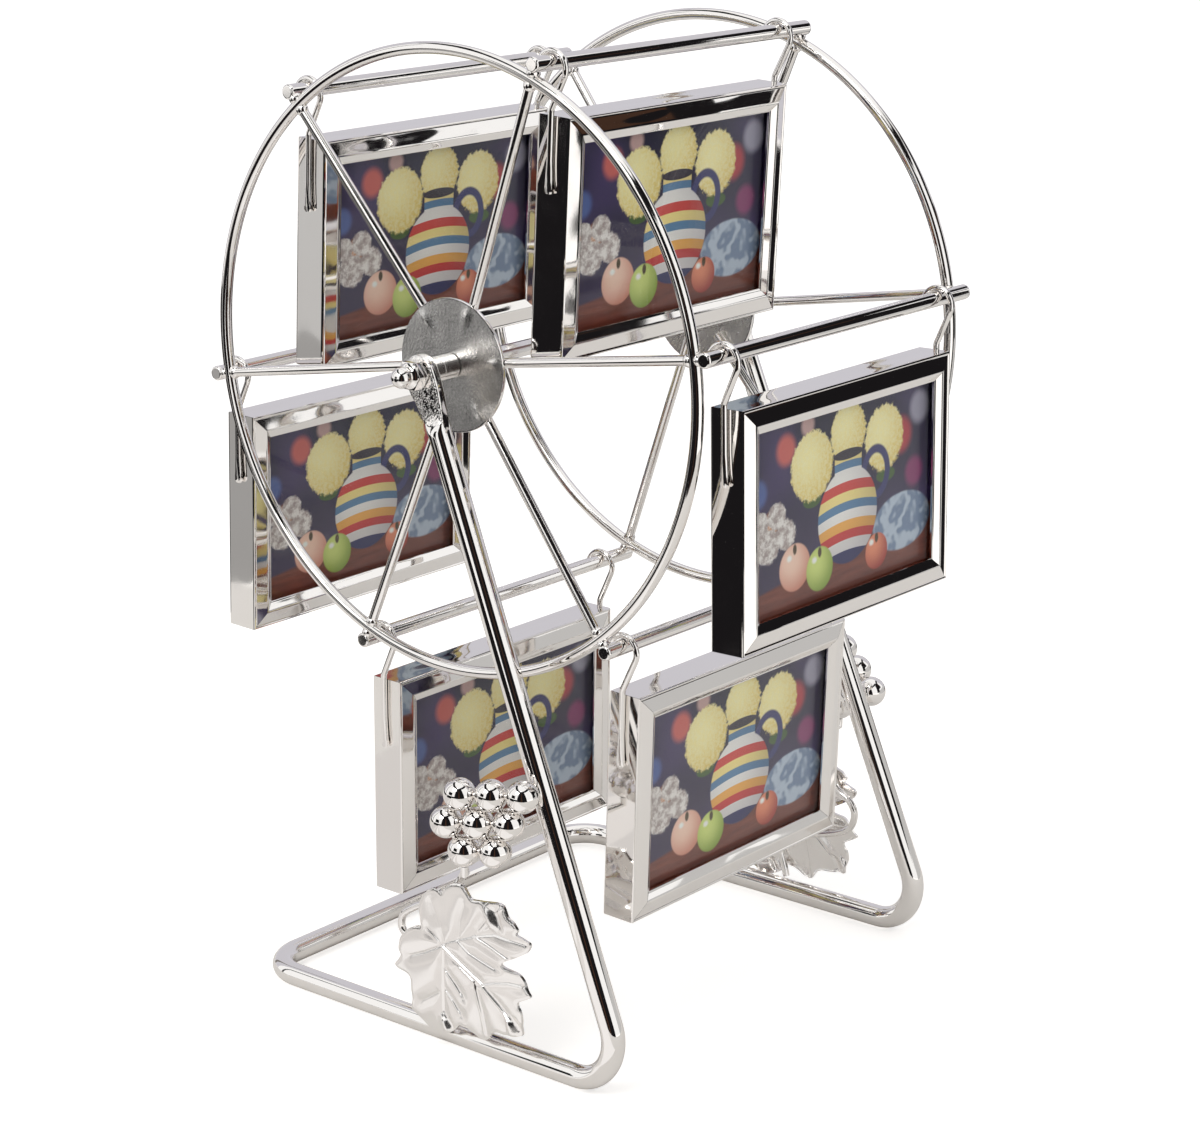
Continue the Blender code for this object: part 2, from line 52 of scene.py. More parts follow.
class Shade:
    """One value of a finish. Maths on it adds Math nodes, and node() adds any other node."""

    def __init__(self, tree, socket=None):
        self.tree = tree
        self.socket = socket

    def node(self, kind, settings=None, inputs=None, output=0):
        """Adds a node: its settings first, then a value or a link for each socket that is named."""
        made = self.tree.nodes.new("ShaderNode" + kind)
        for key, value in (settings or {}).items():
            if key == "bands":
                # Hard-edged bands of colour, each from where it starts
                ramp = made.color_ramp
                while len(ramp.elements) < len(value):
                    ramp.elements.new(0.5)
                for band, (start, colour) in zip(ramp.elements, value):
                    band.position = start
                    band.color = (*colour, 1)
                ramp.interpolation = "CONSTANT"
            else:
                setattr(made, key, value)
        for key, value in (inputs or {}).items():
            if isinstance(value, Shade):
                self.tree.links.new(value.socket, made.inputs[key])
            else:
                made.inputs[key].default_value = value
        return Shade(self.tree, made.outputs[output])

    def maths(self, operation, *others):
        return self.node("Math", {"operation": operation}, dict(enumerate((self, *others))))

    def __add__(self, other):
        return self.maths("ADD", other)

    __radd__ = __add__

    def __sub__(self, other):
        return self.maths("SUBTRACT", other)

    def __rsub__(self, other):
        return self.node("Math", {"operation": "SUBTRACT"}, {0: other, 1: self})

    def __mul__(self, other):
        return self.maths("MULTIPLY", other)

    __rmul__ = __mul__

    def __truediv__(self, other):
        return self.maths("DIVIDE", other)

    def __abs__(self):
        return self.maths("ABSOLUTE")

    def rise(self, low, high):
        """0 below low, 1 above high and a smooth step between them."""
        return self.node("MapRange", {"interpolation_type": "SMOOTHSTEP"}, {0: self, 1: low, 2: high})

    def blend(self, under, over):
        """Lays the colour over on the colour under, where this mask is 1."""
        return self.node("Mix", {"data_type": "RGBA"}, {0: self, 6: under, 7: over}, 2)

    def noise(self, where, scale, detail=2.0, rough=0.5):
        """Soft noise over the piece, with about as many lumps to the metre as the scale says."""
        return self.node("TexNoise", None, {"Vector": where, "Scale": scale, "Detail": detail,
                                            "Roughness": rough})

    def relief(self):
        """Turns the light as if the surface stood out by this value, in metres."""
        return self.node("Bump", None, {"Strength": 1.0, "Distance": 1.0, "Height": self})


def finish(name):
    """A new material, with its tree to build on and the place on the piece."""
    material = bpy.data.materials.new(name)
    material.use_nodes = True
    material.node_tree.nodes.clear()
    shade = Shade(material.node_tree)
    return material, shade, shade.node("TexCoord", output="Object")


def seal(surface, output="Material"):
    """Ends a finish with its last shader."""
    out = surface.tree.nodes.new("ShaderNodeOutput" + output)
    surface.tree.links.new(surface.socket, out.inputs["Surface"])


mm = 0.001
peel_height = 0.0006 * mm


def bright_nickel(name, wave_height, wave_size=9.0, roughness=0.045, marks=None):
    """Polished nickel plate: faint long waves of the steel under it, fine orange peel and a thin haze."""
    material, shade, where = finish(name)
    waves = shade.noise(where, 1000 / wave_size, 1.0)
    peel = shade.noise(where, 1400.0)
    haze = shade.noise(where, 160.0, 3.0).rise(0.35, 0.75)
    height = waves * (wave_height * mm) + peel * peel_height
    if marks:
        height = height + marks(shade, where)
    warm = shade.noise(where, 45.0).blend((0.90, 0.87, 0.84, 1), (0.93, 0.91, 0.89, 1))
    seal(shade.node("BsdfPrincipled", None, {"Base Color": warm, "Metallic": 1.0, "Normal": height.relief(),
                                             "Roughness": roughness + haze * 0.03}))
    return material


def arc(before, corner, after, radius, steps):
    """The points of the bend that rounds one corner of a wire."""
    one = (before - corner).normalized()
    two = (after - corner).normalized()
    half = one.angle(two) / 2
    centre = corner + (one + two).normalized() * radius / math.sin(half)
    start = corner + one * radius / math.tan(half) - centre
    pivot = one.cross(two).normalized()
    turns = [-(math.pi - 2 * half) * i / steps for i in range(steps + 1)]
    return [centre + start * math.cos(t) + pivot.cross(start) * math.sin(t) for t in turns]


def section(across, along, squareness=2.0, count=32):
    """Outline of a wire: round at squareness 2, hammered flatter and squarer above that."""
    points = []
    for i in range(count):
        turn = 2 * math.pi * (i + 0.5) / count
        c, s = math.cos(turn), math.sin(turn)
        points.append((math.copysign(abs(c) ** (2 / squareness), c) * across,
                       math.copysign(abs(s) ** (2 / squareness), s) * along))
    return points


def draw_wire(path, outlines, side=Vector((1, 0, 0)), closed=False):
    """Draws a wire along a path without twist; side is the first axis of its outline at the start."""
    bm = bmesh.new()
    if not isinstance(outlines[0], list):
        outlines = [outlines] * len(path)
    rings = []
    last = None
    count = len(path)
    for i, (point, outline) in enumerate(zip(path, outlines)):
        ahead = path[(i + 1) % count] if closed or i < count - 1 else point
        behind = path[i - 1] if closed or i else point
        heading = ((ahead - point).normalized() + (point - behind).normalized()).normalized()
        if last:
            side = last.rotation_difference(heading) @ side
        side = (side - heading * side.dot(heading)).normalized()
        up = heading.cross(side)
        rings.append([bm.verts.new(point + side * a + up * b) for a, b in outline])
        last = heading
    for one, two in zip(rings, rings[1:] + rings[:1] if closed else rings[1:]):
        for i in range(len(one)):
            bm.faces.new((one[i - 1], one[i], two[i], two[i - 1]))
    if not closed:
        bm.faces.new(rings[0])
        bm.faces.new(rings[-1])
    return bm


def piece(name, bm, body, material, stands_for=(), place=None, sharp=32.0):
    """Brings a mesh to metres, shades it and hangs it on its body."""
    bmesh.ops.scale(bm, vec=(mm,) * 3, verts=bm.verts)
    bmesh.ops.recalc_face_normals(bm, faces=bm.faces)
    mesh = bpy.data.meshes.new(name)
    bm.to_mesh(mesh)
    bm.free()
    mesh.shade_smooth()
    mesh.set_sharp_from_angle(angle=math.radians(sharp))
    mesh.materials.append(material)
    return hang(name, mesh, body, stands_for, place)


def hang(name, mesh, body, stands_for=(), place=None):
    """One object on a body; like pieces share their mesh."""
    made = bpy.data.objects.new(name, mesh)
    bpy.context.scene.collection.objects.link(made)
    if place is not None:
        made.matrix_world = place
    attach(made, body)
    if stands_for:
        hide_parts(*stands_for)
    return made


axle_z = 170.5
ear_x = 61.2
ear_length = 8.5
ear_half_width = 4.5
ear_half_thickness = 1.5
wire_radius = 2.95
bend_radius = 11.5
floor_x = 65.2
toe = Vector((floor_x, -67.9, wire_radius))
heel = Vector((floor_x, 56.4, wire_radius))
ear = Vector((ear_x, 0, axle_z))
leg_down = Vector((0, toe.y, toe.z - axle_z)).normalized()
neck = ear + leg_down * ear_length
leg_run = (toe - neck).normalized()


def ease(distance, start, end):
    """Runs smoothly from 0 at the start to 1 at the end."""
    share = min(1, max(0, (distance - start) / (end - start)))
    return share * share * (3 - 2 * share)


def ear_section(distance):
    """Outline at a distance below the axle, where the hammered ear runs out into the round wire."""
    widen = 1 - ease(distance, 2.5, 15)
    flatten = 1 - ease(distance, 11.5, 15.5)
    return section(wire_radius - (wire_radius - ear_half_thickness) * flatten,
                   wire_radius + (ear_half_width - wire_radius) * widen, 2 + 4 * flatten)


def hammered(shade, where):
    """The hammer's small pits, on the outer faces of the ears, by their places in metres."""
    across = abs(shade.node("SeparateXYZ", None, {0: where}, "X"))
    height = shade.node("SeparateXYZ", None, {0: where}, "Z")
    face = across.rise(0.0621, 0.0625) * height.rise(0.1580, 0.1598)
    pits = shade.noise(where, 950.0, 2.0, 0.6).rise(0.36, 0.62)
    return pits * face * (0.06 * mm)


# The right half runs from the ear's rounded top down to its neck, and by two bends to the back bar
path = []
outlines = []
for turn in (8, 15, 24, 36, 50, 65, 80):
    swing = math.radians(turn)
    path.append(ear - leg_down * ear_half_width * math.cos(swing))
    outlines.append(section(ear_half_thickness - 0.45 * math.cos(swing) ** 6,
                            ear_half_width * math.sin(swing), 6))
run_out = 17.0
run_out_steps = 18
for i in range(run_out_steps + 1):
    distance = run_out * i / run_out_steps
    path.append(ear + leg_down * min(distance, ear_length) + leg_run * max(0, distance - ear_length))
    outlines.append(ear_section(distance))
path += arc(neck, toe, heel, bend_radius, 24)
path += arc(toe, heel, Vector((-heel.x, heel.y, heel.z)), bend_radius, 18)
outlines += [section(wire_radius, wire_radius)] * (len(path) - len(outlines))
# The other half is its mirror image
path += [Vector((-p.x, p.y, p.z)) for p in reversed(path)]
outlines += outlines[::-1]
stand_nickel = bright_nickel("stand_nickel", 0.012, 14.0, marks=hammered)
stand = piece("stand", draw_wire(path, outlines), "stand", stand_nickel, ["stand_wire"])
# The axle's hole is drilled through both ears
bore_radius = 2.25
drill = bpy.data.objects.new("drill", bpy.data.meshes.new("drill"))
bm = draw_wire([Vector((-70, 0, axle_z)), Vector((70, 0, axle_z))], section(bore_radius, bore_radius),
               Vector((0, 1, 0)))
bmesh.ops.scale(bm, vec=(mm,) * 3, verts=bm.verts)
bmesh.ops.recalc_face_normals(bm, faces=bm.faces)
bm.to_mesh(drill.data)
bm.free()
bpy.context.scene.collection.objects.link(drill)
cut = stand.modifiers.new("hole", "BOOLEAN")
cut.object = drill
stand.data = bpy.data.meshes.new_from_object(stand.evaluated_get(bpy.context.evaluated_depsgraph_get()))
stand.modifiers.clear()
bpy.data.objects.remove(drill)


# Axle. A plain steel rod runs through ears and hub discs. A spacer of two short tubes keeps each hub
# off its ear, and a plated dome nut closes each end.


def spin(profile, count=32):
    """Turns a profile of (x, radius) points about the axle's direction."""
    bm = bmesh.new()
    rings = []
    for x, radius in profile:
        turns = [2 * math.pi * i / count for i in range(count if radius else 1)]
        rings.append([bm.verts.new((x, radius * math.cos(t), radius * math.sin(t))) for t in turns])
    for one, two in zip(rings, rings[1:]):
        for i in range(count):
            corners = [one[i - 1 if len(one) > 1 else 0], one[i if len(one) > 1 else 0],
                       two[i if len(two) > 1 else 0], two[i - 1 if len(two) > 1 else 0]]
            bm.faces.new(list(dict.fromkeys(corners)))
    return bm


def on_axle(bm, sign, x):
    """Sets a turned piece on the axle, with its outer end outward."""
    turn = Matrix.Rotation(math.radians(90 - 90 * sign), 3, "Z")
    bmesh.ops.rotate(bm, cent=(0, 0, 0), matrix=turn, verts=bm.verts)
    bmesh.ops.translate(bm, vec=(sign * x, 0, axle_z), verts=bm.verts)
    return bm


def join(bm, other):
    """Adds another shell to a piece's mesh."""
    shell = bpy.data.meshes.new("shell")
    other.to_mesh(shell)
    other.free()
    bm.from_mesh(shell)
    bpy.data.meshes.remove(shell)


turned_nickel = bright_nickel("turned_nickel", 0.004, 4.0, 0.06)
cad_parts["axle_rod"].data.materials.clear()
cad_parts["axle_rod"].data.materials.append(turned_nickel)
spacer_x = 55.15
spacer_profile = [(-4.25, 2.3), (-4.25, 2.95), (-4.1, 3.1), (0.75, 3.1), (0.85, 2.95), (0.95, 3.1),
                  (4.1, 3.1), (4.25, 2.95), (4.25, 2.3), (-4.25, 2.3)]
nut_x = 63.0
nut_radius = 3.9
nut_thickness = 3.2
dome_radius = 2.65
dome_centre = 5.35
dome_profile = [(2.2, 0), (2.2, 3.1), (3.2, 3.2), (3.55, 2.95), (3.75, 2.6)]
for turn in range(-30, 90, 10):
    dome_profile.append((dome_centre + dome_radius * math.sin(math.radians(turn)),
                         dome_radius * math.cos(math.radians(turn))))
dome_profile.append((dome_centre + dome_radius, 0))
sides = (("left", -1), ("right", 1))
for side, sign in sides:
    piece(f"spacer_{side}", on_axle(spin(spacer_profile), sign, spacer_x), "stand", turned_nickel,
          [f"sleeve_{side}"])
    nut = spin([(0, 0), (0, nut_radius), (nut_thickness, nut_radius), (nut_thickness, 0)], 6)
    bmesh.ops.bevel(nut, geom=nut.edges, offset=0.18, segments=2, affect="EDGES", profile=0.6)
    join(nut, spin(dome_profile))
    piece(f"dome_nut_{side}", on_axle(nut, sign, nut_x), "stand", turned_nickel, [f"cap_nut_{side}"])


# Grapes. Eight polished steel balls on each side are soldered to each other in three rows, and the
# first ball of the top row to the leg. They are plated with the stand.

ball_radius = 4.1
ball_step = 8.1
row_step = 7.2
ball_off_leg = 7.4
bunch_splay = math.radians(20)
touching = 9.5
# The height of each bunch's first ball on the leg, and the turn of its rows in degrees
bunches = {"left": (74.0, -4.0), "right": (65.0, 32.0)}


def leg_at(height):
    """The leg's middle at a height, on the right."""
    lean = (neck.z - height) / (neck.z - toe.z)
    return Vector((ear_x + (floor_x - ear_x) * lean, toe.y * (axle_z - height) / (axle_z - toe.z), height))


def ball_rows(side):
    """The middles of a bunch's balls, row by row and downwards."""
    sign = -1 if side == "left" else 1
    height, turn = bunches[side]
    first = leg_at(height)
    first.x = sign * (first.x + ball_off_leg)
    turn = math.radians(turn)
    back = Vector((sign * math.sin(bunch_splay), math.cos(bunch_splay), 0))
    along = back * math.cos(turn) + Vector((0, 0, math.sin(turn)))
    down = back * math.sin(turn) - Vector((0, 0, math.cos(turn)))
    rows = ((3, 0.0), (3, 0.5), (2, 1.0))
    return [[first + along * ball_step * (start + i) + down * row_step * row for i in range(count)]
            for row, (count, start) in enumerate(rows)]


ball_nickel = bright_nickel("ball_nickel", 0.002, 5.0, 0.03)
for side in bunches:
    bm = bmesh.new()
    balls = [ball for row in ball_rows(side) for ball in row]
    for ball in balls:
        bmesh.ops.create_icosphere(bm, subdivisions=4, radius=ball_radius - 0.03,
                                   matrix=Matrix.Translation(ball))
    for i, one in enumerate(balls):
        for two in balls[i + 1:]:
            if (two - one).length < touching:
                # A waist of solder between them, by its places on the way and its radii there
                places = [one.lerp(two, t) for t in (0.36, 0.41, 0.46, 0.54, 0.59, 0.64)]
                outlines = [section(r, r, 2, 16) for r in (1.7, 1.15, 0.9, 0.9, 1.15, 1.7)]
                join(bm, draw_wire(places, outlines, Vector((0.1, 0.2, 1))))
    piece(f"bunch_{side}", bm, "stand", ball_nickel, [f"grapes_{side}"], sharp=50)


# Leaves. Each is a vine leaf cut from thin sheet, its veins and lobes pressed in a die, soldered to the
# outside of the floor bar and plated.

leaf_x = 68.5
leaf_sheet = 0.8
leaf_middle = (-14, 27)
leaf_outline = [
    (-5.7, 40.3), (-7.2, 41.8), (-8.7, 42.7), (-10.3, 42.9), (-11.5, 42.1), (-12.3, 43.4), (-13.7, 44.6),
    (-15.4, 45.6), (-17.3, 46.0), (-18.5, 46.0), (-19.6, 44.9), (-20.5, 43.9), (-21.7, 43.0), (-24.2, 43.3),
    (-26.1, 43.5), (-28.0, 43.8), (-30.1, 43.9), (-31.4, 43.4), (-32.3, 42.2), (-33.2, 41.1), (-34.8, 40.4),
    (-35.7, 39.6), (-36.5, 38.5), (-35.8, 37.4), (-36.8, 37.0), (-38.4, 36.5), (-39.6, 36.1), (-40.1, 35.2),
    (-39.1, 33.5), (-37.0, 32.0), (-34.2, 30.4), (-31.0, 28.5), (-32.1, 27.7), (-34.2, 27.4), (-36.3, 27.1),
    (-37.8, 25.9), (-38.7, 24.4), (-39.6, 23.2), (-40.5, 22.1), (-38.2, 20.7), (-36.2, 19.5), (-36.4, 18.3),
    (-37.2, 17.2), (-37.6, 15.0), (-37.1, 12.6), (-37.0, 10.8), (-34.4, 10.3), (-31.4, 9.8), (-29.3, 9.7),
    (-27.2, 8.6), (-25.9, 6.6), (-23.6, 6.5), (-21.2, 7.6), (-19.1, 8.2), (-17.2, 8.2), (-16.0, 6.9),
    (-14.0, 5.3), (-12.6, 4.7), (-10.6, 3.8), (-8.7, 3.4), (-6.8, 4.6), (-4.6, 6.1), (-2.5, 7.3),
    (-1.0, 8.4), (-1.3, 10.9), (-0.9, 13.1), (-0.6, 16.1), (0.7, 17.3), (3.4, 17.8), (4.6, 18.8),
    (3.3, 20.5), (2.6, 21.9), (3.2, 23.3), (2.9, 25.3), (2.4, 26.8), (0.9, 28.5), (-0.6, 29.9),
    (-2.6, 30.9), (-4.2, 31.3), (-4.3, 32.6), (-4.2, 34.1), (-3.9, 35.6), (-4.3, 38.0),
]
# Each vein's height, the step across it, its half width, and the points that it runs through
leaf_veins = [
    (-0.16, 0.10, 0.30, [(-11.2, 28.1), (-14.1, 29.8), (-17.0, 31.1), (-21.7, 33.2), (-28.8, 35.5),
                         (-38.9, 35.3)]),
    (0.26, 0.12, 0.32, [(-22.2, 33.2), (-26.8, 31.9), (-33.3, 30.0)]),
    (-0.16, 0.14, 0.28, [(-17.0, 30.6), (-20.2, 28.4), (-24.4, 27.3), (-28.9, 26.4)]),
    (0.32, 0.20, 0.34, [(-11.9, 27.7), (-17.3, 24.6), (-24.8, 20.9), (-31.2, 15.9), (-36.5, 11.3)]),
    (0.28, 0.22, 0.30, [(-17.3, 23.8), (-22.0, 21.3), (-24.2, 13.5), (-25.5, 7.3)]),
    (-0.16, 0.12, 0.30, [(-11.9, 26.9), (-11.7, 17.6), (-11.7, 9.9)]),
    (0.22, 0.16, 0.28, [(-12.5, 21.3), (-15.3, 18.7), (-17.6, 16.2)]),
    (0.22, 0.16, 0.28, [(-12.4, 15.9), (-14.7, 13.9), (-17.0, 11.4)]),
    (-0.22, 0.05, 0.28, [(-10.2, 27.3), (-5.3, 24.6), (-0.4, 22.3)]),
    (-0.10, 0.06, 0.30, [(-11.9, 29.3), (-11.3, 32.9), (-9.5, 35.9), (-8.1, 39.0)]),
    (-0.10, 0.06, 0.30, [(-17.0, 31.4), (-17.6, 36.5), (-19.1, 40.6)]),
    (0.24, 0.0, 0.30, [(-10.2, 28.8), (-8.4, 30.0), (-6.5, 30.9)]),
    (-0.20, 0.05, 0.26, [(-9.9, 15.0), (-7.0, 13.0), (-4.0, 11.0)]),
    (0.24, 0.20, 0.30, [(-25.0, 21.0), (-28.6, 22.5), (-33.2, 23.6), (-36.9, 23.9)]),
    (0.24, 0.10, 0.30, [(-24.1, 35.5), (-26.5, 38.4), (-28.9, 40.9), (-31.2, 43.0)]),
]
# Three places where the die has creased the sheet: their middles, half sizes and slant
leaf_creases = [
    (-28.5, 39.6, 1.5, 2.6, -0.45),
    (-35.4, 12.0, 1.4, 2.8, -0.4),
    (-13.6, 6.8, 1.3, 2.2, -0.5),
]
leaf_gap = 0.5


def distance_to(points, line, with_side=False):
    """Distance of many points from a line through several points, and on which side of it each lies."""
    best = np.full(len(points), 1e9)
    side = np.zeros(len(points))
    for a, b in zip(np.array(line), np.array(line[1:])):
        run = b - a
        share = np.clip((points - a) @ run / (run @ run), 0, 1)
        off = points - a - share[:, None] * run
        away = np.hypot(*off.T)
        side = np.where(away < best, (run[0] * off[:, 1] - run[1] * off[:, 0]) / np.hypot(*run), side)
        best = np.minimum(best, away)
    return (best, side) if with_side else best


def leaf_height(points, edge):
    """How far the pressed sheet stands out from its plane."""
    y, z = points.T
    lines = [distance_to(points, line, True) for *_, line in leaf_veins]
    nearest = np.min([away for away, _ in lines], axis=0)
    # The sheet swells between the veins, each vein is a fine line with a small step across it, and the
    # leaf is a little wavy towards its rim
    height = 0.5 + 0.45 * (1 - np.exp(-(nearest / 2.0) ** 2))
    for (lift, step, wide, _), (away, side) in zip(leaf_veins, lines):
        height += lift * np.exp(-(away / wide) ** 2)
        height += step * np.tanh(side / 0.25) * np.exp(-away / 2.2)
    off_middle = np.hypot(y - leaf_middle[0], z - leaf_middle[1])
    height += 0.16 * np.sin(y / 2.6 + z / 4.1) * np.clip(off_middle / 20, 0, 1)
    for middle_y, middle_z, half_y, half_z, slant in leaf_creases:
        off = y - middle_y + slant * (z - middle_z)
        creased = np.exp(-(off / half_y / 1.5) ** 4 - ((z - middle_z) / half_z) ** 4)
        height += creased * (0.92 + 0.86 * np.clip(off / half_y, -1, 1) - height)
    # The cut rim is dressed back a little
    return np.clip(height - 0.25 * np.exp(-(edge / 0.4) ** 2), 0.02, 1.8)


def between(a, b, c, d, share):
    """A point of the smooth curve from b to c, where a comes before them and d after."""
    return 0.5 * (2 * b + (c - a) * share + (2 * a - 5 * b + 4 * c - d) * share ** 2
                  + (3 * b - a - 3 * c + d) * share ** 3)


outline = np.array(leaf_outline)
rim = []
for a, b, c, d in zip(np.roll(outline, 1, 0), outline, np.roll(outline, -1, 0), np.roll(outline, -2, 0)):
    rim += [between(a, b, c, d, share) for share in (0, 0.34, 0.67)]
rim = np.array(rim)
ys, zs = np.meshgrid(np.arange(-41, 5, leaf_gap), np.arange(3, 47, leaf_gap * 0.87))
ys[::2] += leaf_gap / 2
grid = np.column_stack([ys.ravel(), zs.ravel()])
# Rows of points follow each vein, and the even grid fills the sheet between them
clear_of_veins = np.min([distance_to(grid, line) for *_, line in leaf_veins], axis=0) > 0.8
rows = [grid[clear_of_veins]]
for *_, line in leaf_veins:
    for start, end in zip(np.array(line), np.array(line[1:])):
        run = end - start
        reach = np.hypot(*run)
        across = np.array([-run[1], run[0]]) / reach
        middle = start + run * np.linspace(0, 1, max(2, round(reach / 0.45)), endpoint=False)[:, None]
        rows += [middle + across * off for off in (-0.62, -0.4, -0.24, -0.1, 0, 0.1, 0.24, 0.4, 0.62)]
grid = np.vstack(rows)
# A point lies inside the leaf when a level line from it crosses the rim an odd number of times
crossings = np.zeros(len(grid), int)
for (ay, az), (by, bz) in zip(rim, np.roll(rim, -1, 0)):
    crossings += ((az > grid[:, 1]) != (bz > grid[:, 1])) & (
        grid[:, 0] < (by - ay) * (grid[:, 1] - az) / (bz - az + 1e-12) + ay)
inside = grid[(crossings % 2 == 1) & (distance_to(grid, [*rim, rim[0]]) > 0.3)]
flat = np.vstack([rim, inside])
count = len(rim)
flat_points, _, triangles, _, _, _ = delaunay_2d_cdt(
    [Vector(p) for p in flat], [(i, (i + 1) % count) for i in range(count)], [], 1, 1e-6)
flat = np.array([list(p) for p in flat_points])
heights = leaf_height(flat, distance_to(flat, [*rim, rim[0]]))
leaf_nickel = bright_nickel("leaf_nickel", 0.010, 5.0, 0.16)
for side, sign in sides:
    bm = bmesh.new()
    front = [bm.verts.new((sign * (leaf_x + leaf_sheet + h), y, z)) for (y, z), h in zip(flat, heights)]
    back = [bm.verts.new((sign * (leaf_x + h), y, z)) for (y, z), h in zip(flat, heights)]
    for corners in triangles:
        bm.faces.new([front[i] for i in corners])
        bm.faces.new([back[i] for i in reversed(corners)])
    for i in range(count):
        j = (i + 1) % count
        bm.faces.new((front[i], front[j], back[j], back[i]))
    piece(f"vine_leaf_{side}", bm, "stand", leaf_nickel, [f"leaf_{side}"], sharp=50)


# Stems. A 2 mm wire runs from under the bunch, behind the leaf, round one loop of tendril and down to
# the floor bar.

stem_x = 67.2
stem_radius = 0.98
# The ball under which each stem starts, by its row and place, and the bends down to the floor bar
stem_bends = {
    "left": ((2, 1), [(-17.1, 48.4), (-13.3, 43.0), (-5.3, 37.4), (0.2, 34.4), (4.0, 31.4), (4.4, 27.7),
                      (0.7, 24.7), (-4.8, 20.2), (-7.8, 14.2)]),
    "right": ((2, 0), [(-26.8, 47.7), (-30.8, 40.2), (-35.5, 35.5), (-39.3, 33.2), (-41.0, 29.7),
                       (-39.5, 25.4), (-34.3, 22.6), (-25.3, 20.0), (-16.3, 16.2)]),
}


def through(points, steps):
    """A smooth curve through given points."""
    ends = [points[0] * 2 - points[1], *points, points[-1] * 2 - points[-2]]
    curve = []
    for a, b, c, d in zip(ends, ends[1:], ends[2:], ends[3:]):
        curve += [between(a, b, c, d, i / steps) for i in range(steps)]
    return curve + [points[-1]]


thin_nickel = bright_nickel("thin_nickel", 0.004, 6.0)
for side, ((row, which), bends) in stem_bends.items():
    sign = -1 if side == "left" else 1
    start = ball_rows(side)[row][which] - Vector((0, 0, ball_radius))
    route = [Vector((sign * stem_x, y, z)) for y, z in bends]
    foot = Vector((sign * stem_x, route[-1].y - 2, 2 * wire_radius))
    curve = [start, *through([start - Vector((0, 0, 2.2)), *route, foot], 7)]
    piece(f"tendril_{side}", draw_wire(curve, section(stem_radius, stem_radius, 2, 14)), "stand",
          thin_nickel, [f"stem_{side}"])


# Rings. Two rings of 3 mm wire make the wheel's rims. Each is bent round and butt welded, and the weld
# is ground almost flush.

ring_radius = 76.5
ring_x = 52.3
ring_wire_radius = 1.5
ring_steps = 240
weld_step = 27
turn_at_rest = 8.87


def spoke_way(angle):
    """Direction in the wheel's plane: 0 is to the front and 90 is up."""
    turn = math.radians(angle)
    return Vector((0, -math.cos(turn), math.sin(turn)))


centre = Vector((0, 0, axle_z))
ring_nickel = bright_nickel("ring_nickel", 0.006, 11.0)
for side, sign in sides:
    path = [centre + Vector((sign * ring_x, 0, 0)) + spoke_way(360 * i / ring_steps) * ring_radius
            for i in range(ring_steps)]
    fat = [ring_wire_radius + 0.05 * math.exp(-((i - weld_step) / 0.8) ** 2) for i in range(ring_steps)]
    outlines = [section(r, r, 2, 20) for r in fat]
    piece(f"rim_{side}", draw_wire(path, outlines, closed=True), "wheel", ring_nickel, [f"ring_{side}"])


# Hubs. A stamped disc of sheet steel carries six 2.5 mm spokes, spot welded to its inner face. The heat
# has left a slight dimple over each weld, and the disc is plated without polishing.

hub_x = 50.1
hub_sheet = 1.0
hub_radii = (2.3, 3.2, 5, 7, 9, 10.6, 11.6, 12.4, 13.2, 14, 14.8, 15.6, 16.2, 16.5, 16.6)
hub_steps = 144
weld_orbit = 13.4
weld_dimple = 0.34
edge_roll = 0.22
spoke_x = 48.55
spoke_radius = 1.25
spoke_root = 9.0
hub_satin, shade, where = finish("hub_satin")
haze = shade.noise(where, 90.0, 4.0, 0.6)
grain = shade.noise(where, 1700.0, 2.0, 0.7)
waves = shade.noise(where, 130.0, 1.0)
# The rolled edge of the disc stays bright
off_axle = shade.node("VectorMath", {"operation": "SUBTRACT"}, {0: where, 1: (0, 0, axle_z * mm)})
off_axle = shade.node("VectorMath", {"operation": "MULTIPLY"}, {0: off_axle, 1: (0, 1, 1)})
rolled = shade.node("VectorMath", {"operation": "LENGTH"}, {0: off_axle}, 1).rise(0.01615, 0.01635)
tone = haze.rise(0.3, 0.7).blend((0.84, 0.825, 0.80, 1), (0.95, 0.935, 0.91, 1))
tone = (grain.rise(0.42, 0.62) * 0.4).blend(tone, (0.42, 0.41, 0.40, 1))
tone = rolled.blend(tone, (0.93, 0.91, 0.89, 1))
seal(shade.node("BsdfPrincipled", None, {
    "Base Color": tone, "Metallic": 1.0, "Roughness": (0.20 + haze * 0.12) * (1 - rolled * 0.8),
    "Normal": (waves * (0.06 * mm) + grain * (0.03 * mm)).relief()}))


def weld(at, along, across):
    """A bead of weld: its half sizes along the axle and in the wheel's plane."""
    bead = bmesh.new()
    bmesh.ops.create_icosphere(bead, subdivisions=3, radius=1.0)
    bmesh.ops.scale(bead, vec=(along, across, across), verts=bead.verts)
    bmesh.ops.translate(bead, vec=at, verts=bead.verts)
    return bead


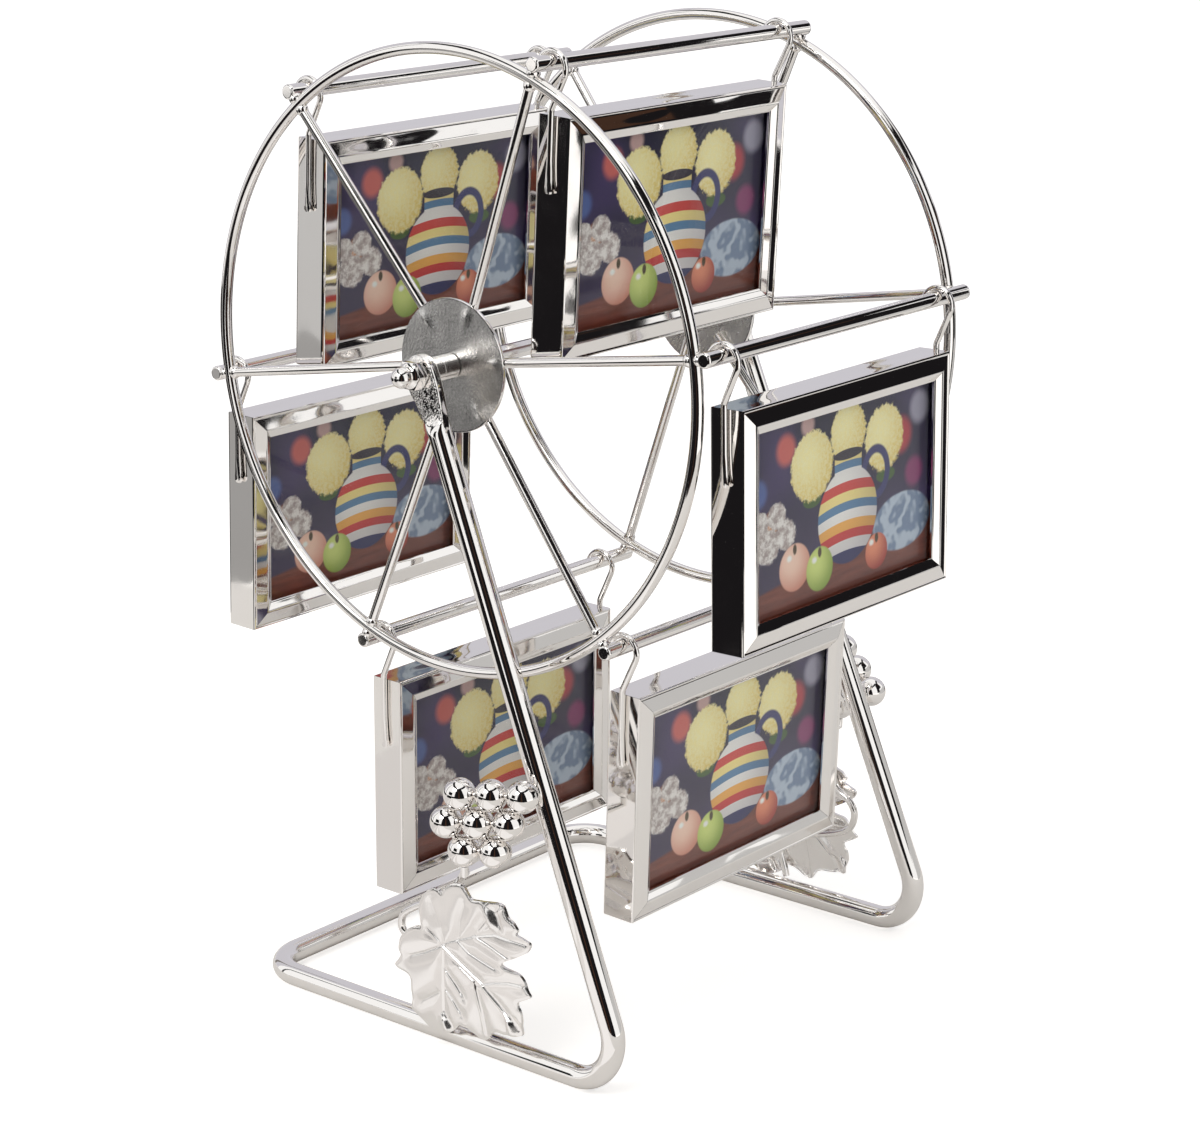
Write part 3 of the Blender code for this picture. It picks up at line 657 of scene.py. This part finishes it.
for side, sign in sides:
    # The disc: rings of points on both faces, with a dimple over each spoke's weld
    bm = bmesh.new()
    faces = []
    for outward, x in ((1, hub_x + hub_sheet / 2), (-1, hub_x - hub_sheet / 2)):
        rings = []
        for radius in hub_radii:
            ring = []
            for i in range(hub_steps):
                angle = 360 * i / hub_steps
                off = abs((angle - turn_at_rest + 30) % 60 - 30)
                dimple = weld_dimple * math.exp(-(off / 3.8) ** 2 - ((radius - weld_orbit) / 1.6) ** 2)
                roll = edge_roll if radius == hub_radii[-1] else 0
                ring.append(bm.verts.new(Vector((sign * (x + dimple - outward * roll), 0, axle_z))
                                         + spoke_way(angle) * radius))
            rings.append(ring)
        for one, two in zip(rings, rings[1:]):
            for i in range(hub_steps):
                bm.faces.new((one[i - 1], one[i], two[i], two[i - 1]))
        faces.append((rings[0], rings[-1]))
    for one, two in zip(*faces):
        for i in range(hub_steps):
            bm.faces.new((one[i - 1], one[i], two[i], two[i - 1]))
    piece(f"hub_disc_{side}", bm, "wheel", hub_satin, [f"hub_{side}"], sharp=40)
    # The spokes, each with the bead that joins it to the ring
    bm = bmesh.new()
    for k in range(6):
        way = spoke_way(turn_at_rest + 60 * k)
        root = centre + Vector((sign * spoke_x, 0, 0)) + way * spoke_root
        on_ring = centre + Vector((sign * ring_x, 0, 0))
        tip = on_ring + way * (ring_radius - 1.0)
        path = [root, root + way * 0.3, root.lerp(tip, 0.5), tip]
        outlines = [section(0.9, 0.9, 2, 18)] + [section(spoke_radius, spoke_radius, 2, 18)] * 3
        join(bm, draw_wire(path, outlines))
        join(bm, weld(on_ring + way * (ring_radius - 1.6), 1.5, 1.7))
    piece(f"spokes_{side}", bm, "wheel", ring_nickel)


# Bars. Six 3.8 mm steel rods lie across the two rings and are welded to both, with their ends turned
# round. They are plated with the wheel, and each carries one frame.

bar_orbit = 80.2
bar_half = 54.1
bar_profile = [(-bar_half, 0), (-bar_half, 1.35), (-bar_half, 1.45), (-bar_half + 0.12, 1.68),
               (-bar_half + 0.35, 1.86), (-bar_half + 0.7, 1.9), (-bar_half + 0.9, 1.9)]
bar_profile += [(-x, r) for x, r in reversed(bar_profile)]
for k in range(6):
    way = spoke_way(turn_at_rest + 60 * k)
    bm = spin(bar_profile, 28)
    bmesh.ops.translate(bm, vec=centre + way * bar_orbit, verts=bm.verts)
    for sign in (-1, 1):
        join(bm, weld(centre + Vector((sign * ring_x, 0, 0)) + way * (bar_orbit - 2.1), 1.9, 1.6))
    piece(f"rod_{k + 1}", bm, "wheel", ring_nickel, [f"bar_{k + 1}"])


# Frames. Each casing is a roof-shaped moulding pressed from thin strip, mitred and soldered at its four
# corners and the same on both sides. Two wire hooks are soldered to its ends and hang it on its bar.

casing_width = 86.1
casing_height = 58.6
# Each frame hangs below its bar and a little to the left of its middle, and leans by these degrees
drop = 12.55
slide = -2.3
leans = (-1.0, 3.0, 3.0, 2.0, 0.5, 2.0)
face = 4.75
# Half of the moulding's outline, from its outer side to its lip: the inset and the depth from the middle
front = [
    (0, face - 0.45), (0.06, face - 0.22), (0.2, face - 0.06), (0.42, face - 0.02), (0.62, face - 0.11),
    (0.75, face - 0.23), (0.9, face - 0.14), (3.9, face + 0.70), (4.1, face + 0.75), (4.3, face + 0.77),
    (4.5, face + 0.73), (4.7, face + 0.63), (6.1, face - 0.17), (6.35, face - 0.24), (6.52, face - 0.33),
    (6.6, face - 0.45), (6.6, face - 0.9), (1.2, face - 0.9),
]
profile = front + [(inset, -depth) for inset, depth in reversed(front)]
# Two more points, close to the ends of each wide flat, keep its shading even
flats = []
for a, b in zip(profile, profile[1:] + profile[:1]):
    a, b = Vector(a), Vector(b)
    flats.append(a)
    if (b - a).length > 1.0:
        flats += [a + (b - a).normalized() * 0.15, b - (b - a).normalized() * 0.15]
profile = [tuple(p) for p in flats]
# Each strip ends a little short of its corner, where the mitre shows as a fine line
mitre = 0.05
bm = bmesh.new()
corners = ((-1, -1), (1, -1), (1, 1), (-1, 1))
for (ax, az), (bx, bz) in zip(corners, corners[1:] + corners[:1]):
    along = Vector((bx - ax, 0, bz - az)).normalized()
    ends = []
    for (cx, cz), away in (((ax, az), mitre), ((bx, bz), -mitre)):
        ends.append([bm.verts.new(Vector((cx * (casing_width / 2 - inset), -depth,
                                          cz * (casing_height / 2 - inset))) + along * away)
                     for inset, depth in profile])
    for i in range(len(profile)):
        bm.faces.new((ends[0][i - 1], ends[0][i], ends[1][i], ends[1][i - 1]))
    for end in ends:
        bm.faces.new(end)
bmesh.ops.translate(bm, vec=(0, 0, -drop - casing_height / 2), verts=bm.verts)


def drawn(shade, where):
    """Long waves of the top and bottom strips, left where they were drawn through the press."""
    off_middle = abs(shade.node("SeparateXYZ", None, {0: where}, "X"))
    along = shade.node("VectorMath", {"operation": "MULTIPLY"}, {0: where, 1: (0.25, 1, 1)})
    return (shade.noise(along, 120.0, 1.0) - 0.5) * (1 - off_middle.rise(0.026, 0.042)) * (0.5 * mm)


moulding_nickel = bright_nickel("moulding_nickel", 0.22, 19.0, 0.035, drawn)
hook_nickel = bright_nickel("hook_nickel", 0.004, 5.0)

hook_x = 44.15
hook_radius = 0.78
hook_reach = 18.25
hook_lean = 0.22
knee_radius = 2.5
eye_radius = 3.3 + hook_radius
eye = Vector((0, 0, -1.37))
knee = Vector((0, 0, 1.35 - drop))
slope = math.degrees(math.acos(eye_radius / (eye.z - knee.z)))
# The eye goes round the bar, the knee turns the wire down the casing, and its end is hammered flat
hook = []
for i in range(41):
    turn = math.radians(-20 + (290 - slope) * i / 40)
    hook.append(eye + Vector((0, math.cos(turn), math.sin(turn))) * eye_radius)
hook += arc(hook[-1], knee, knee - Vector((0, 0, 10)), knee_radius, 8)
end = Vector((0, 0, -drop - hook_reach))
hook += [knee.lerp(end, t) for t in (0.3, 0.6, 0.85, 0.92, 0.97, 1.0)]
outlines = [section(0.35, 0.35, 2, 14), section(0.7, 0.7, 2, 14)]
outlines += [section(hook_radius, hook_radius, 2, 14)] * (len(hook) - 6)
outlines += [section(0.62, 1.0, 3, 14), section(0.55, 1.15, 3, 14), section(0.55, 1.15, 3, 14),
             section(0.4, 0.8, 3, 14)]
hangers = {}
for side, sign in sides:
    # Below the eye the wire leans in, to lie on the casing's side
    path = [p + Vector((sign * (hook_x - hook_lean * min(1, max(0, (-p.z - 8) / 4))), 0, 0)) for p in hook]
    hangers[side] = draw_wire(path, outlines)

places = []
for k in range(6):
    at = (centre + spoke_way(turn_at_rest + 60 * k) * bar_orbit + Vector((slide, 0, 0))) * mm
    places.append(Matrix.Translation(at) @ Matrix.Rotation(math.radians(leans[k]), 4, "X"))

# The six frames are alike, so the first one's meshes serve the others
shared = {}
for k, place in enumerate(places):
    n = k + 1
    for name, made, node, material in (
            ("moulding", bm, "casing", moulding_nickel),
            ("left_hanger", hangers["left"], "left_hook", hook_nickel),
            ("right_hanger", hangers["right"], "right_hook", hook_nickel)):
        if k == 0:
            shared[name] = piece(f"{name}_{n}", made, f"frame_{n}", material, [f"frame_{n}_{node}"], place,
                                 sharp=24 if name == "moulding" else 32).data
        else:
            hang(f"{name}_{n}", shared[name], f"frame_{n}", [f"frame_{n}_{node}"], place)


# Prints. A board between the panes carries one print on each side: a still life of a striped jug with
# yellow pompon flowers and fruit on a wooden table, in front of far coloured lights.

window_half = 36.5
print_card, shade, where = finish("print")
x = shade.node("SeparateXYZ", None, {0: where}, "X")
y = shade.node("SeparateXYZ", None, {0: where}, "Y")
z = shade.node("SeparateXYZ", None, {0: where}, "Z")
front_side = y.maths("SIGN")
# Across and up the picture, from its middle and by half of the window's width
u = x * front_side * (-1000 / window_half)
v = (z + (drop + casing_height / 2) * mm) * (1000 / window_half)
flat = shade.node("CombineXYZ", None, {0: u, 1: v})


def disc(cu, cv, ru, rv, soft=0.04, ragged=0.0):
    """Mask of an ellipse, 1 inside it: its middle, its half sizes, and how soft and ragged its edge is."""
    a = (u - cu) / ru
    b = (v - cv) / rv
    away = (a * a + b * b).maths("SQRT")
    if ragged:
        away = away + (shade.noise(flat, 26.0, 3.0, 0.7) - 0.5) * ragged
    return 1 - away.rise(1 - soft, 1 + soft)


# The dark wall with its lights, the wooden table and a blue cloth
wall = v.rise(-0.5, 0.7).blend((0.052, 0.038, 0.088, 1), (0.014, 0.011, 0.044, 1))
wall = shade.noise(flat, 1.3, 1.0).rise(0.45, 0.75).blend(wall, (0.065, 0.042, 0.135, 1))
for cu, cv, r, colour in (
        (0.70, 0.30, 0.12, (0.55, 0.05, 0.06)), (-0.62, 0.44, 0.10, (0.75, 0.16, 0.12)),
        (0.92, 0.46, 0.11, (0.42, 0.40, 0.50)), (-0.92, 0.20, 0.09, (0.10, 0.16, 0.42)),
        (-0.38, 0.56, 0.07, (0.70, 0.45, 0.42)), (0.86, 0.02, 0.10, (0.30, 0.04, 0.16)),
        (-0.78, -0.02, 0.08, (0.72, 0.30, 0.08))):
    wall = (disc(cu, cv, r, r, 0.35) * 0.85).blend(wall, (*colour, 1))
edge = v - u * 0.12 + 0.36
wood = shade.noise(shade.node("CombineXYZ", None, {0: u * 1.5 + v * 0.4, 1: v * 14.0}), 2.0, 4.0)
table = wood.blend((0.09, 0.016, 0.011, 1), (0.30, 0.08, 0.045, 1))
picture = edge.rise(-0.015, 0.015).blend(table, wall)
cloth_shape = disc(0.72, -0.30, 0.34, 0.20, 0.05)
folds = shade.noise(flat, 5.0, 2.0) + u * 0.6
folds = (folds * 22).maths("SINE")
cloth = folds.rise(-1, 1).blend((0.20, 0.27, 0.40, 1), (0.50, 0.58, 0.68, 1))
picture = cloth_shape.blend(picture, cloth)
# Pale blossom on the left, then leaves and the three pompon flowers
for cu, cv, r in ((-0.82, -0.16, 0.13), (-0.62, -0.12, 0.11), (-0.72, 0.02, 0.10), (-0.90, 0.0, 0.09)):
    petals = shade.noise(flat, 17.0, 3.0, 0.7).rise(0.35, 0.65)
    blossom = petals.blend((0.42, 0.34, 0.32, 1), (0.88, 0.84, 0.80, 1))
    picture = disc(cu, cv, r, r * 0.9, 0.12, 0.5).blend(picture, blossom)
for cu, cv, ru, rv in ((-0.33, 0.05, 0.10, 0.05), (0.52, 0.06, 0.11, 0.05), (0.05, 0.20, 0.07, 0.12)):
    picture = disc(cu, cv, ru, rv, 0.08).blend(picture, (0.07, 0.13, 0.035, 1))
for cu, cv, r in ((-0.33, 0.28, 0.235), (0.50, 0.32, 0.225), (0.08, 0.43, 0.20)):
    threads = shade.noise(flat, 34.0, 3.0, 0.8).rise(0.38, 0.62)
    glow = disc(cu - 0.06, cv + 0.07, r * 0.95, r * 0.95, 0.9)
    bloom = glow.blend((0.74, 0.52, 0.08, 1), (1.0, 0.90, 0.42, 1))
    bloom = (threads * 0.5).blend(bloom, (0.98, 0.94, 0.62, 1))
    picture = disc(cu, cv, r, r, 0.05, 0.35).blend(picture, bloom)
# The jug with its handle, stripes and dark mouth
neck_shape = (1 - abs(u - 0.08).rise(0.15, 0.16)) * v.rise(-0.05, -0.04) * (1 - v.rise(0.285, 0.295))
handle = disc(0.40, 0.10, 0.17, 0.19, 0.05) * (1 - disc(0.40, 0.10, 0.11, 0.13, 0.07))
picture = handle.blend(picture, (0.05, 0.05, 0.17, 1))
jug = disc(0.08, -0.13, 0.34, 0.33, 0.02)
jug = jug.maths("MAXIMUM", neck_shape)
band = v + (u - 0.08) * (u - 0.08) * 0.35
stripes = shade.node("ValToRGB", {"bands": [
    (0.0, (0.04, 0.04, 0.16)), (0.13, (0.86, 0.83, 0.80)), (0.23, (0.68, 0.05, 0.05)),
    (0.31, (0.95, 0.48, 0.10)), (0.40, (0.90, 0.88, 0.84)), (0.49, (0.12, 0.26, 0.44)),
    (0.57, (0.95, 0.78, 0.30)), (0.66, (0.70, 0.07, 0.06)), (0.75, (0.90, 0.88, 0.84)),
    (0.86, (0.12, 0.26, 0.44)), (0.93, (0.95, 0.78, 0.30))]}, {0: (band + 0.47) / 0.76})
glaze = disc(-0.04, -0.02, 0.34, 0.40, 0.9).blend((0.45, 0.42, 0.48, 1), (1, 1, 1, 1))
jug_colour = shade.node("Mix", {"data_type": "RGBA", "blend_type": "MULTIPLY"},
                        {0: 0.8, 6: stripes, 7: glaze}, 2)
picture = jug.blend(picture, jug_colour)
picture = disc(0.08, 0.285, 0.17, 0.035, 0.05).blend(picture, (0.04, 0.03, 0.05, 1))
# Two round fruits, a small one, and the light on each
for cu, cv, ru, rv, dark, light in (
        (-0.52, -0.36, 0.17, 0.16, (0.66, 0.24, 0.16), (0.95, 0.66, 0.52)),
        (-0.24, -0.43, 0.15, 0.15, (0.24, 0.36, 0.04), (0.66, 0.76, 0.22)),
        (0.42, -0.45, 0.13, 0.125, (0.40, 0.04, 0.03), (0.82, 0.28, 0.15))):
    fruit = disc(cu - 0.04, cv + 0.05, ru * 0.9, rv * 0.9, 0.8).blend((*dark, 1), (*light, 1))
    fruit = disc(cu - 0.06, cv + 0.07, 0.025, 0.02, 0.6).blend(fruit, (0.95, 0.95, 0.9, 1))
    fruit = disc(cu, cv + rv * 0.75, 0.02, 0.035, 0.3).blend(fruit, (0.08, 0.05, 0.02, 1))
    picture = disc(cu, cv, ru, rv, 0.05).blend(picture, fruit)
seal(shade.node("BsdfPrincipled", None, {"Base Color": picture, "Roughness": 0.35}))

card_play = 3.0
card_thickness = 4.0
card = bmesh.new()
bmesh.ops.create_cube(card, size=1)
bmesh.ops.scale(card, vec=(casing_width - card_play, card_thickness, casing_height - card_play),
                verts=card.verts)
bmesh.ops.bevel(card, geom=card.edges, offset=0.12, segments=2, affect="EDGES")
bmesh.ops.translate(card, vec=(0, 0, -drop - casing_height / 2), verts=card.verts)
for k, place in enumerate(places):
    n = k + 1
    if k == 0:
        shared["print"] = piece(f"print_{n}", card, f"frame_{n}", print_card, [f"frame_{n}_insert"], place).data
    else:
        hang(f"print_{n}", shared["print"], f"frame_{n}", [f"frame_{n}_insert"], place)


# Panes. Two clear acrylic sheets close each frame, front and back. The moulding's lip holds their
# edges, and the board between them presses them against it.

pane_clear, shade, where = finish("pane_clear")
bend = shade.noise(where, 55.0, 1.0) * (0.02 * mm)
clear = shade.node("BsdfTransparent", None, {"Color": (0.98, 0.985, 0.985, 1)})
gloss = shade.node("BsdfPrincipled", None, {"Base Color": (1, 1, 1, 1), "Metallic": 1.0, "Roughness": 0.01,
                                            "Normal": bend.relief()})
slant = shade.node("LayerWeight", None, {"Blend": 0.5}, "Facing")
seal(shade.node("MixShader", None, {0: slant * slant * slant * 0.3 + 0.006, 1: clear, 2: gloss}))
for n in range(1, 7):
    for side in ("front", "back"):
        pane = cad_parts[f"frame_{n}_{side}_pane"]
        pane.data.materials.clear()
        pane.data.materials.append(pane_clear)


# Studio. A wide white table stands in a white room, under a soft lamp. Black and grey boards round it
# show only in the plating, as the dark parts of a studio would.

view_turn = math.radians(-50.72)
view_rise = math.radians(16.04)
back = Vector((math.sin(view_turn) * math.cos(view_rise), -math.cos(view_turn) * math.cos(view_rise),
               math.sin(view_rise)))
near = Vector((math.sin(view_turn), -math.cos(view_turn), 0))
right = Vector((math.cos(view_turn), math.sin(view_turn), 0))
camera = bpy.data.objects.new("camera", bpy.data.cameras.new("camera"))
bpy.context.scene.collection.objects.link(camera)
camera.location = Vector((-582.6, -481.6, 324.9)) * mm
camera.rotation_mode = "QUATERNION"
camera.rotation_quaternion = (-back).to_track_quat("-Z", "Y")
camera.data.sensor_width = 36
camera.data.lens = 90.4
camera.data.clip_start = 0.01
camera.data.clip_end = 50
bpy.context.scene.camera = camera


def looked_at(shade):
    """1 where the camera, a mirror or glass looks, and 0 where light only falls on the object."""
    rays = shade.node("LightPath", output="Is Camera Ray")
    for kind in ("Is Glossy Ray", "Is Transmission Ray"):
        rays = rays + shade.node("LightPath", output=kind)
    return rays.maths("MINIMUM", 1.0)


world = bpy.data.worlds.new("studio")
bpy.context.scene.world = world
world.use_nodes = True
world.node_tree.nodes.clear()
shade = Shade(world.node_tree)
white = looked_at(shade).blend((0.8, 0.8, 0.8, 1), (1, 1, 1, 1))
seal(shade.node("Background", None, {"Color": white, "Strength": 1.0}), "World")


def stage_mesh(name, corners, material):
    """A flat sheet of the studio, in millimetres."""
    mesh = bpy.data.meshes.new(name)
    mesh.from_pydata([tuple(c * mm) for c in corners], [], [tuple(range(len(corners)))])
    mesh.materials.append(material)
    made = bpy.data.objects.new(name, mesh)
    bpy.context.scene.collection.objects.link(made)
    return made


def paper(name, glow):
    """White paper, and how much it shines by itself where it is looked at."""
    material, shade, where = finish(name)
    tone = shade.noise(where, 3.0, 3.0).blend((0.71, 0.69, 0.665, 1), (0.73, 0.71, 0.685, 1))
    white = looked_at(shade).blend((0, 0, 0, 1), (glow, glow, glow, 1))
    seal(shade.node("BsdfPrincipled", None, {"Base Color": tone, "Roughness": 0.9,
                                             "Emission Color": white, "Emission Strength": 1.0}))
    return material


table_half = 6000
table_corners = [Vector((x, y, 0)) * table_half for x, y in ((-1, -1), (1, -1), (1, 1), (-1, 1))]
stage_mesh("table", table_corners, paper("table_white", 0.52))


def board_colour(name, colour):
    """An even colour that shines by itself, for the boards that the plating mirrors."""
    material, shade, _ = finish(name)
    seal(shade.node("Emission", None, {"Color": (*colour, 1)}))
    return material


black = board_colour("board_black", (0.010, 0.009, 0.010))
brown = board_colour("board_brown", (0.055, 0.028, 0.018))
dim = board_colour("board_dim", (0.20, 0.185, 0.17))
lavender = board_colour("board_lavender", (0.62, 0.61, 0.66))
grey = board_colour("board_grey", (0.36, 0.355, 0.35))
pale = board_colour("board_pale", (0.56, 0.555, 0.55))
soft = board_colour("board_soft", (0.70, 0.675, 0.66))
warm = board_colour("board_warm", (0.81, 0.78, 0.76))
bright = board_colour("board_bright", (0.95, 0.93, 0.92))


def way(turn):
    """Level direction, turned to the right from the camera's."""
    turn = math.radians(turn)
    return near * math.cos(turn) + right * math.sin(turn)


def only_in_gloss(made):
    """Shows a sheet of the studio only where the plating mirrors it."""
    made.visible_camera = made.visible_diffuse = made.visible_shadow = False
    made.visible_transmission = made.visible_volume_scatter = False


def board(name, material, turn, distance, shape):
    """An upright board that only the plating sees: its corners to the side and up, in millimetres."""
    only_in_gloss(stage_mesh(name, [way(turn) * distance + way(turn + 90) * side + Vector((0, 0, height))
                                    for side, height in shape], material))


# Close to the object the plating mirrors plain paper
card_reach = 430
only_in_gloss(stage_mesh("card", [way(t) * card_reach + Vector((0, 0, 0.5)) for t in range(0, 360, 10)],
                         paper("card_paper", 0.0)))
board("opening", black, 0, 345, [(-214, 1), (160, 1), (58, 400), (-160, 400)])
board("opening_wood", brown, 0, 343, [(-62, 1), (-18, 1), (-30, 300), (-52, 300)])
board("right_dark", black, 98.9, 260, [(-200, 70), (-80, 70), (-80, 137), (4, 137), (4, 285), (150, 300),
                                       (150, 400), (-200, 400)])
board("right_shelf", black, 98.9, 258, [(2, 248), (46, 248), (46, 259), (2, 266.5)])
board("right_brown", brown, 98.9, 257, [(-75, 263), (-14, 257), (-14, 273), (-75, 284)])
board("right_pale", pale, 98.9, 430, [(-280, 0), (220, 0), (220, 150), (-280, 150)])
board("left_wall", black, -62, 1000, [(-230, 110), (230, 110), (230, 400), (-230, 400)])
board("left_slit", black, -95, 420, [(-16, 0), (16, 0), (12, 520), (-12, 520)])
board("left_slit_back", dim, -128, 480, [(-24, 0), (24, 0), (18, 520), (-18, 520)])
# Tall pale boards stand in an arc behind, and a dark gap runs round under the ceiling
for i in range(12):
    turn = 116 + 128 * (i + 0.5) / 12
    board(f"behind_{i}", lavender, turn, 1150, [(-112, 30), (112, 30), (112, 1500), (-112, 1500)])
for i in range(16):
    turn = -128 + 210 * (i + 0.5) / 16
    rise = math.radians(45 + 13 * abs(math.sin(math.radians(turn + 12))))
    low, high = (70 + 480 * math.tan(rise + math.radians(t)) for t in (-6, 6))
    board(f"ceiling_gap_{i}", black, turn, 480, [(-60, low), (60, low), (60, high), (-60, high)])
# Further out the table is dark here and there: each patch from one turn and distance to another
for name, material, start, end, close, far in (
        ("left", black, -81, -50, 312, 2000), ("left_near", black, -50, -30, 420, 2000),
        ("left_back", grey, -95, -81, 430, 900), ("left_far", pale, -95, -81, 900, 2000),
        ("right", black, 72, 104, 485, 1400), ("back_right", black, 112, 190, 430, 1300),
        ("back_left", black, 190, 265, 400, 1300)):
    count = math.ceil((end - start) / 10)
    turns = [start + (end - start) * i / count for i in range(count + 1)]
    only_in_gloss(stage_mesh(f"far_floor_{name}", [
        *(way(t) * close + Vector((0, 0, 1)) for t in turns),
        *(way(t) * far + Vector((0, 0, 1)) for t in reversed(turns))], material))

# Strips on the table beside the leaf shine by themselves in bright, warm and soft tones and show only in the
# plating: painted light and shade, which the pressed sheet mirrors
strips = ((-90, -4, bright), (-4, 14, warm), (14, 30, bright), (30, 46, soft), (46, 66, warm),
          (66, 150, soft))
for i, (low, high, material) in enumerate(strips):
    strip = [Vector(corner) for corner in ((-84, low, 1), (-300, low, 1), (-300, high, 1), (-84, high, 1))]
    only_in_gloss(stage_mesh(f"near_table_{i}", strip, material))

# One large soft lamp stands up to the left of the camera
lamp = bpy.data.objects.new("softbox", bpy.data.lights.new("softbox", "AREA"))
lamp.data.shape = "RECTANGLE"
lamp.data.size, lamp.data.size_y = 0.9, 0.7
lamp.data.energy = 9.0
lamp.location = near * 0.9 - right * 0.7 + Vector((0, 0, 1.25))
lamp.rotation_mode = "QUATERNION"
lamp.rotation_quaternion = (Vector((0, 0, 0.12)) - lamp.location).to_track_quat("-Z", "Y")
bpy.context.scene.collection.objects.link(lamp)
bpy.context.scene.view_settings.view_transform = "Standard"
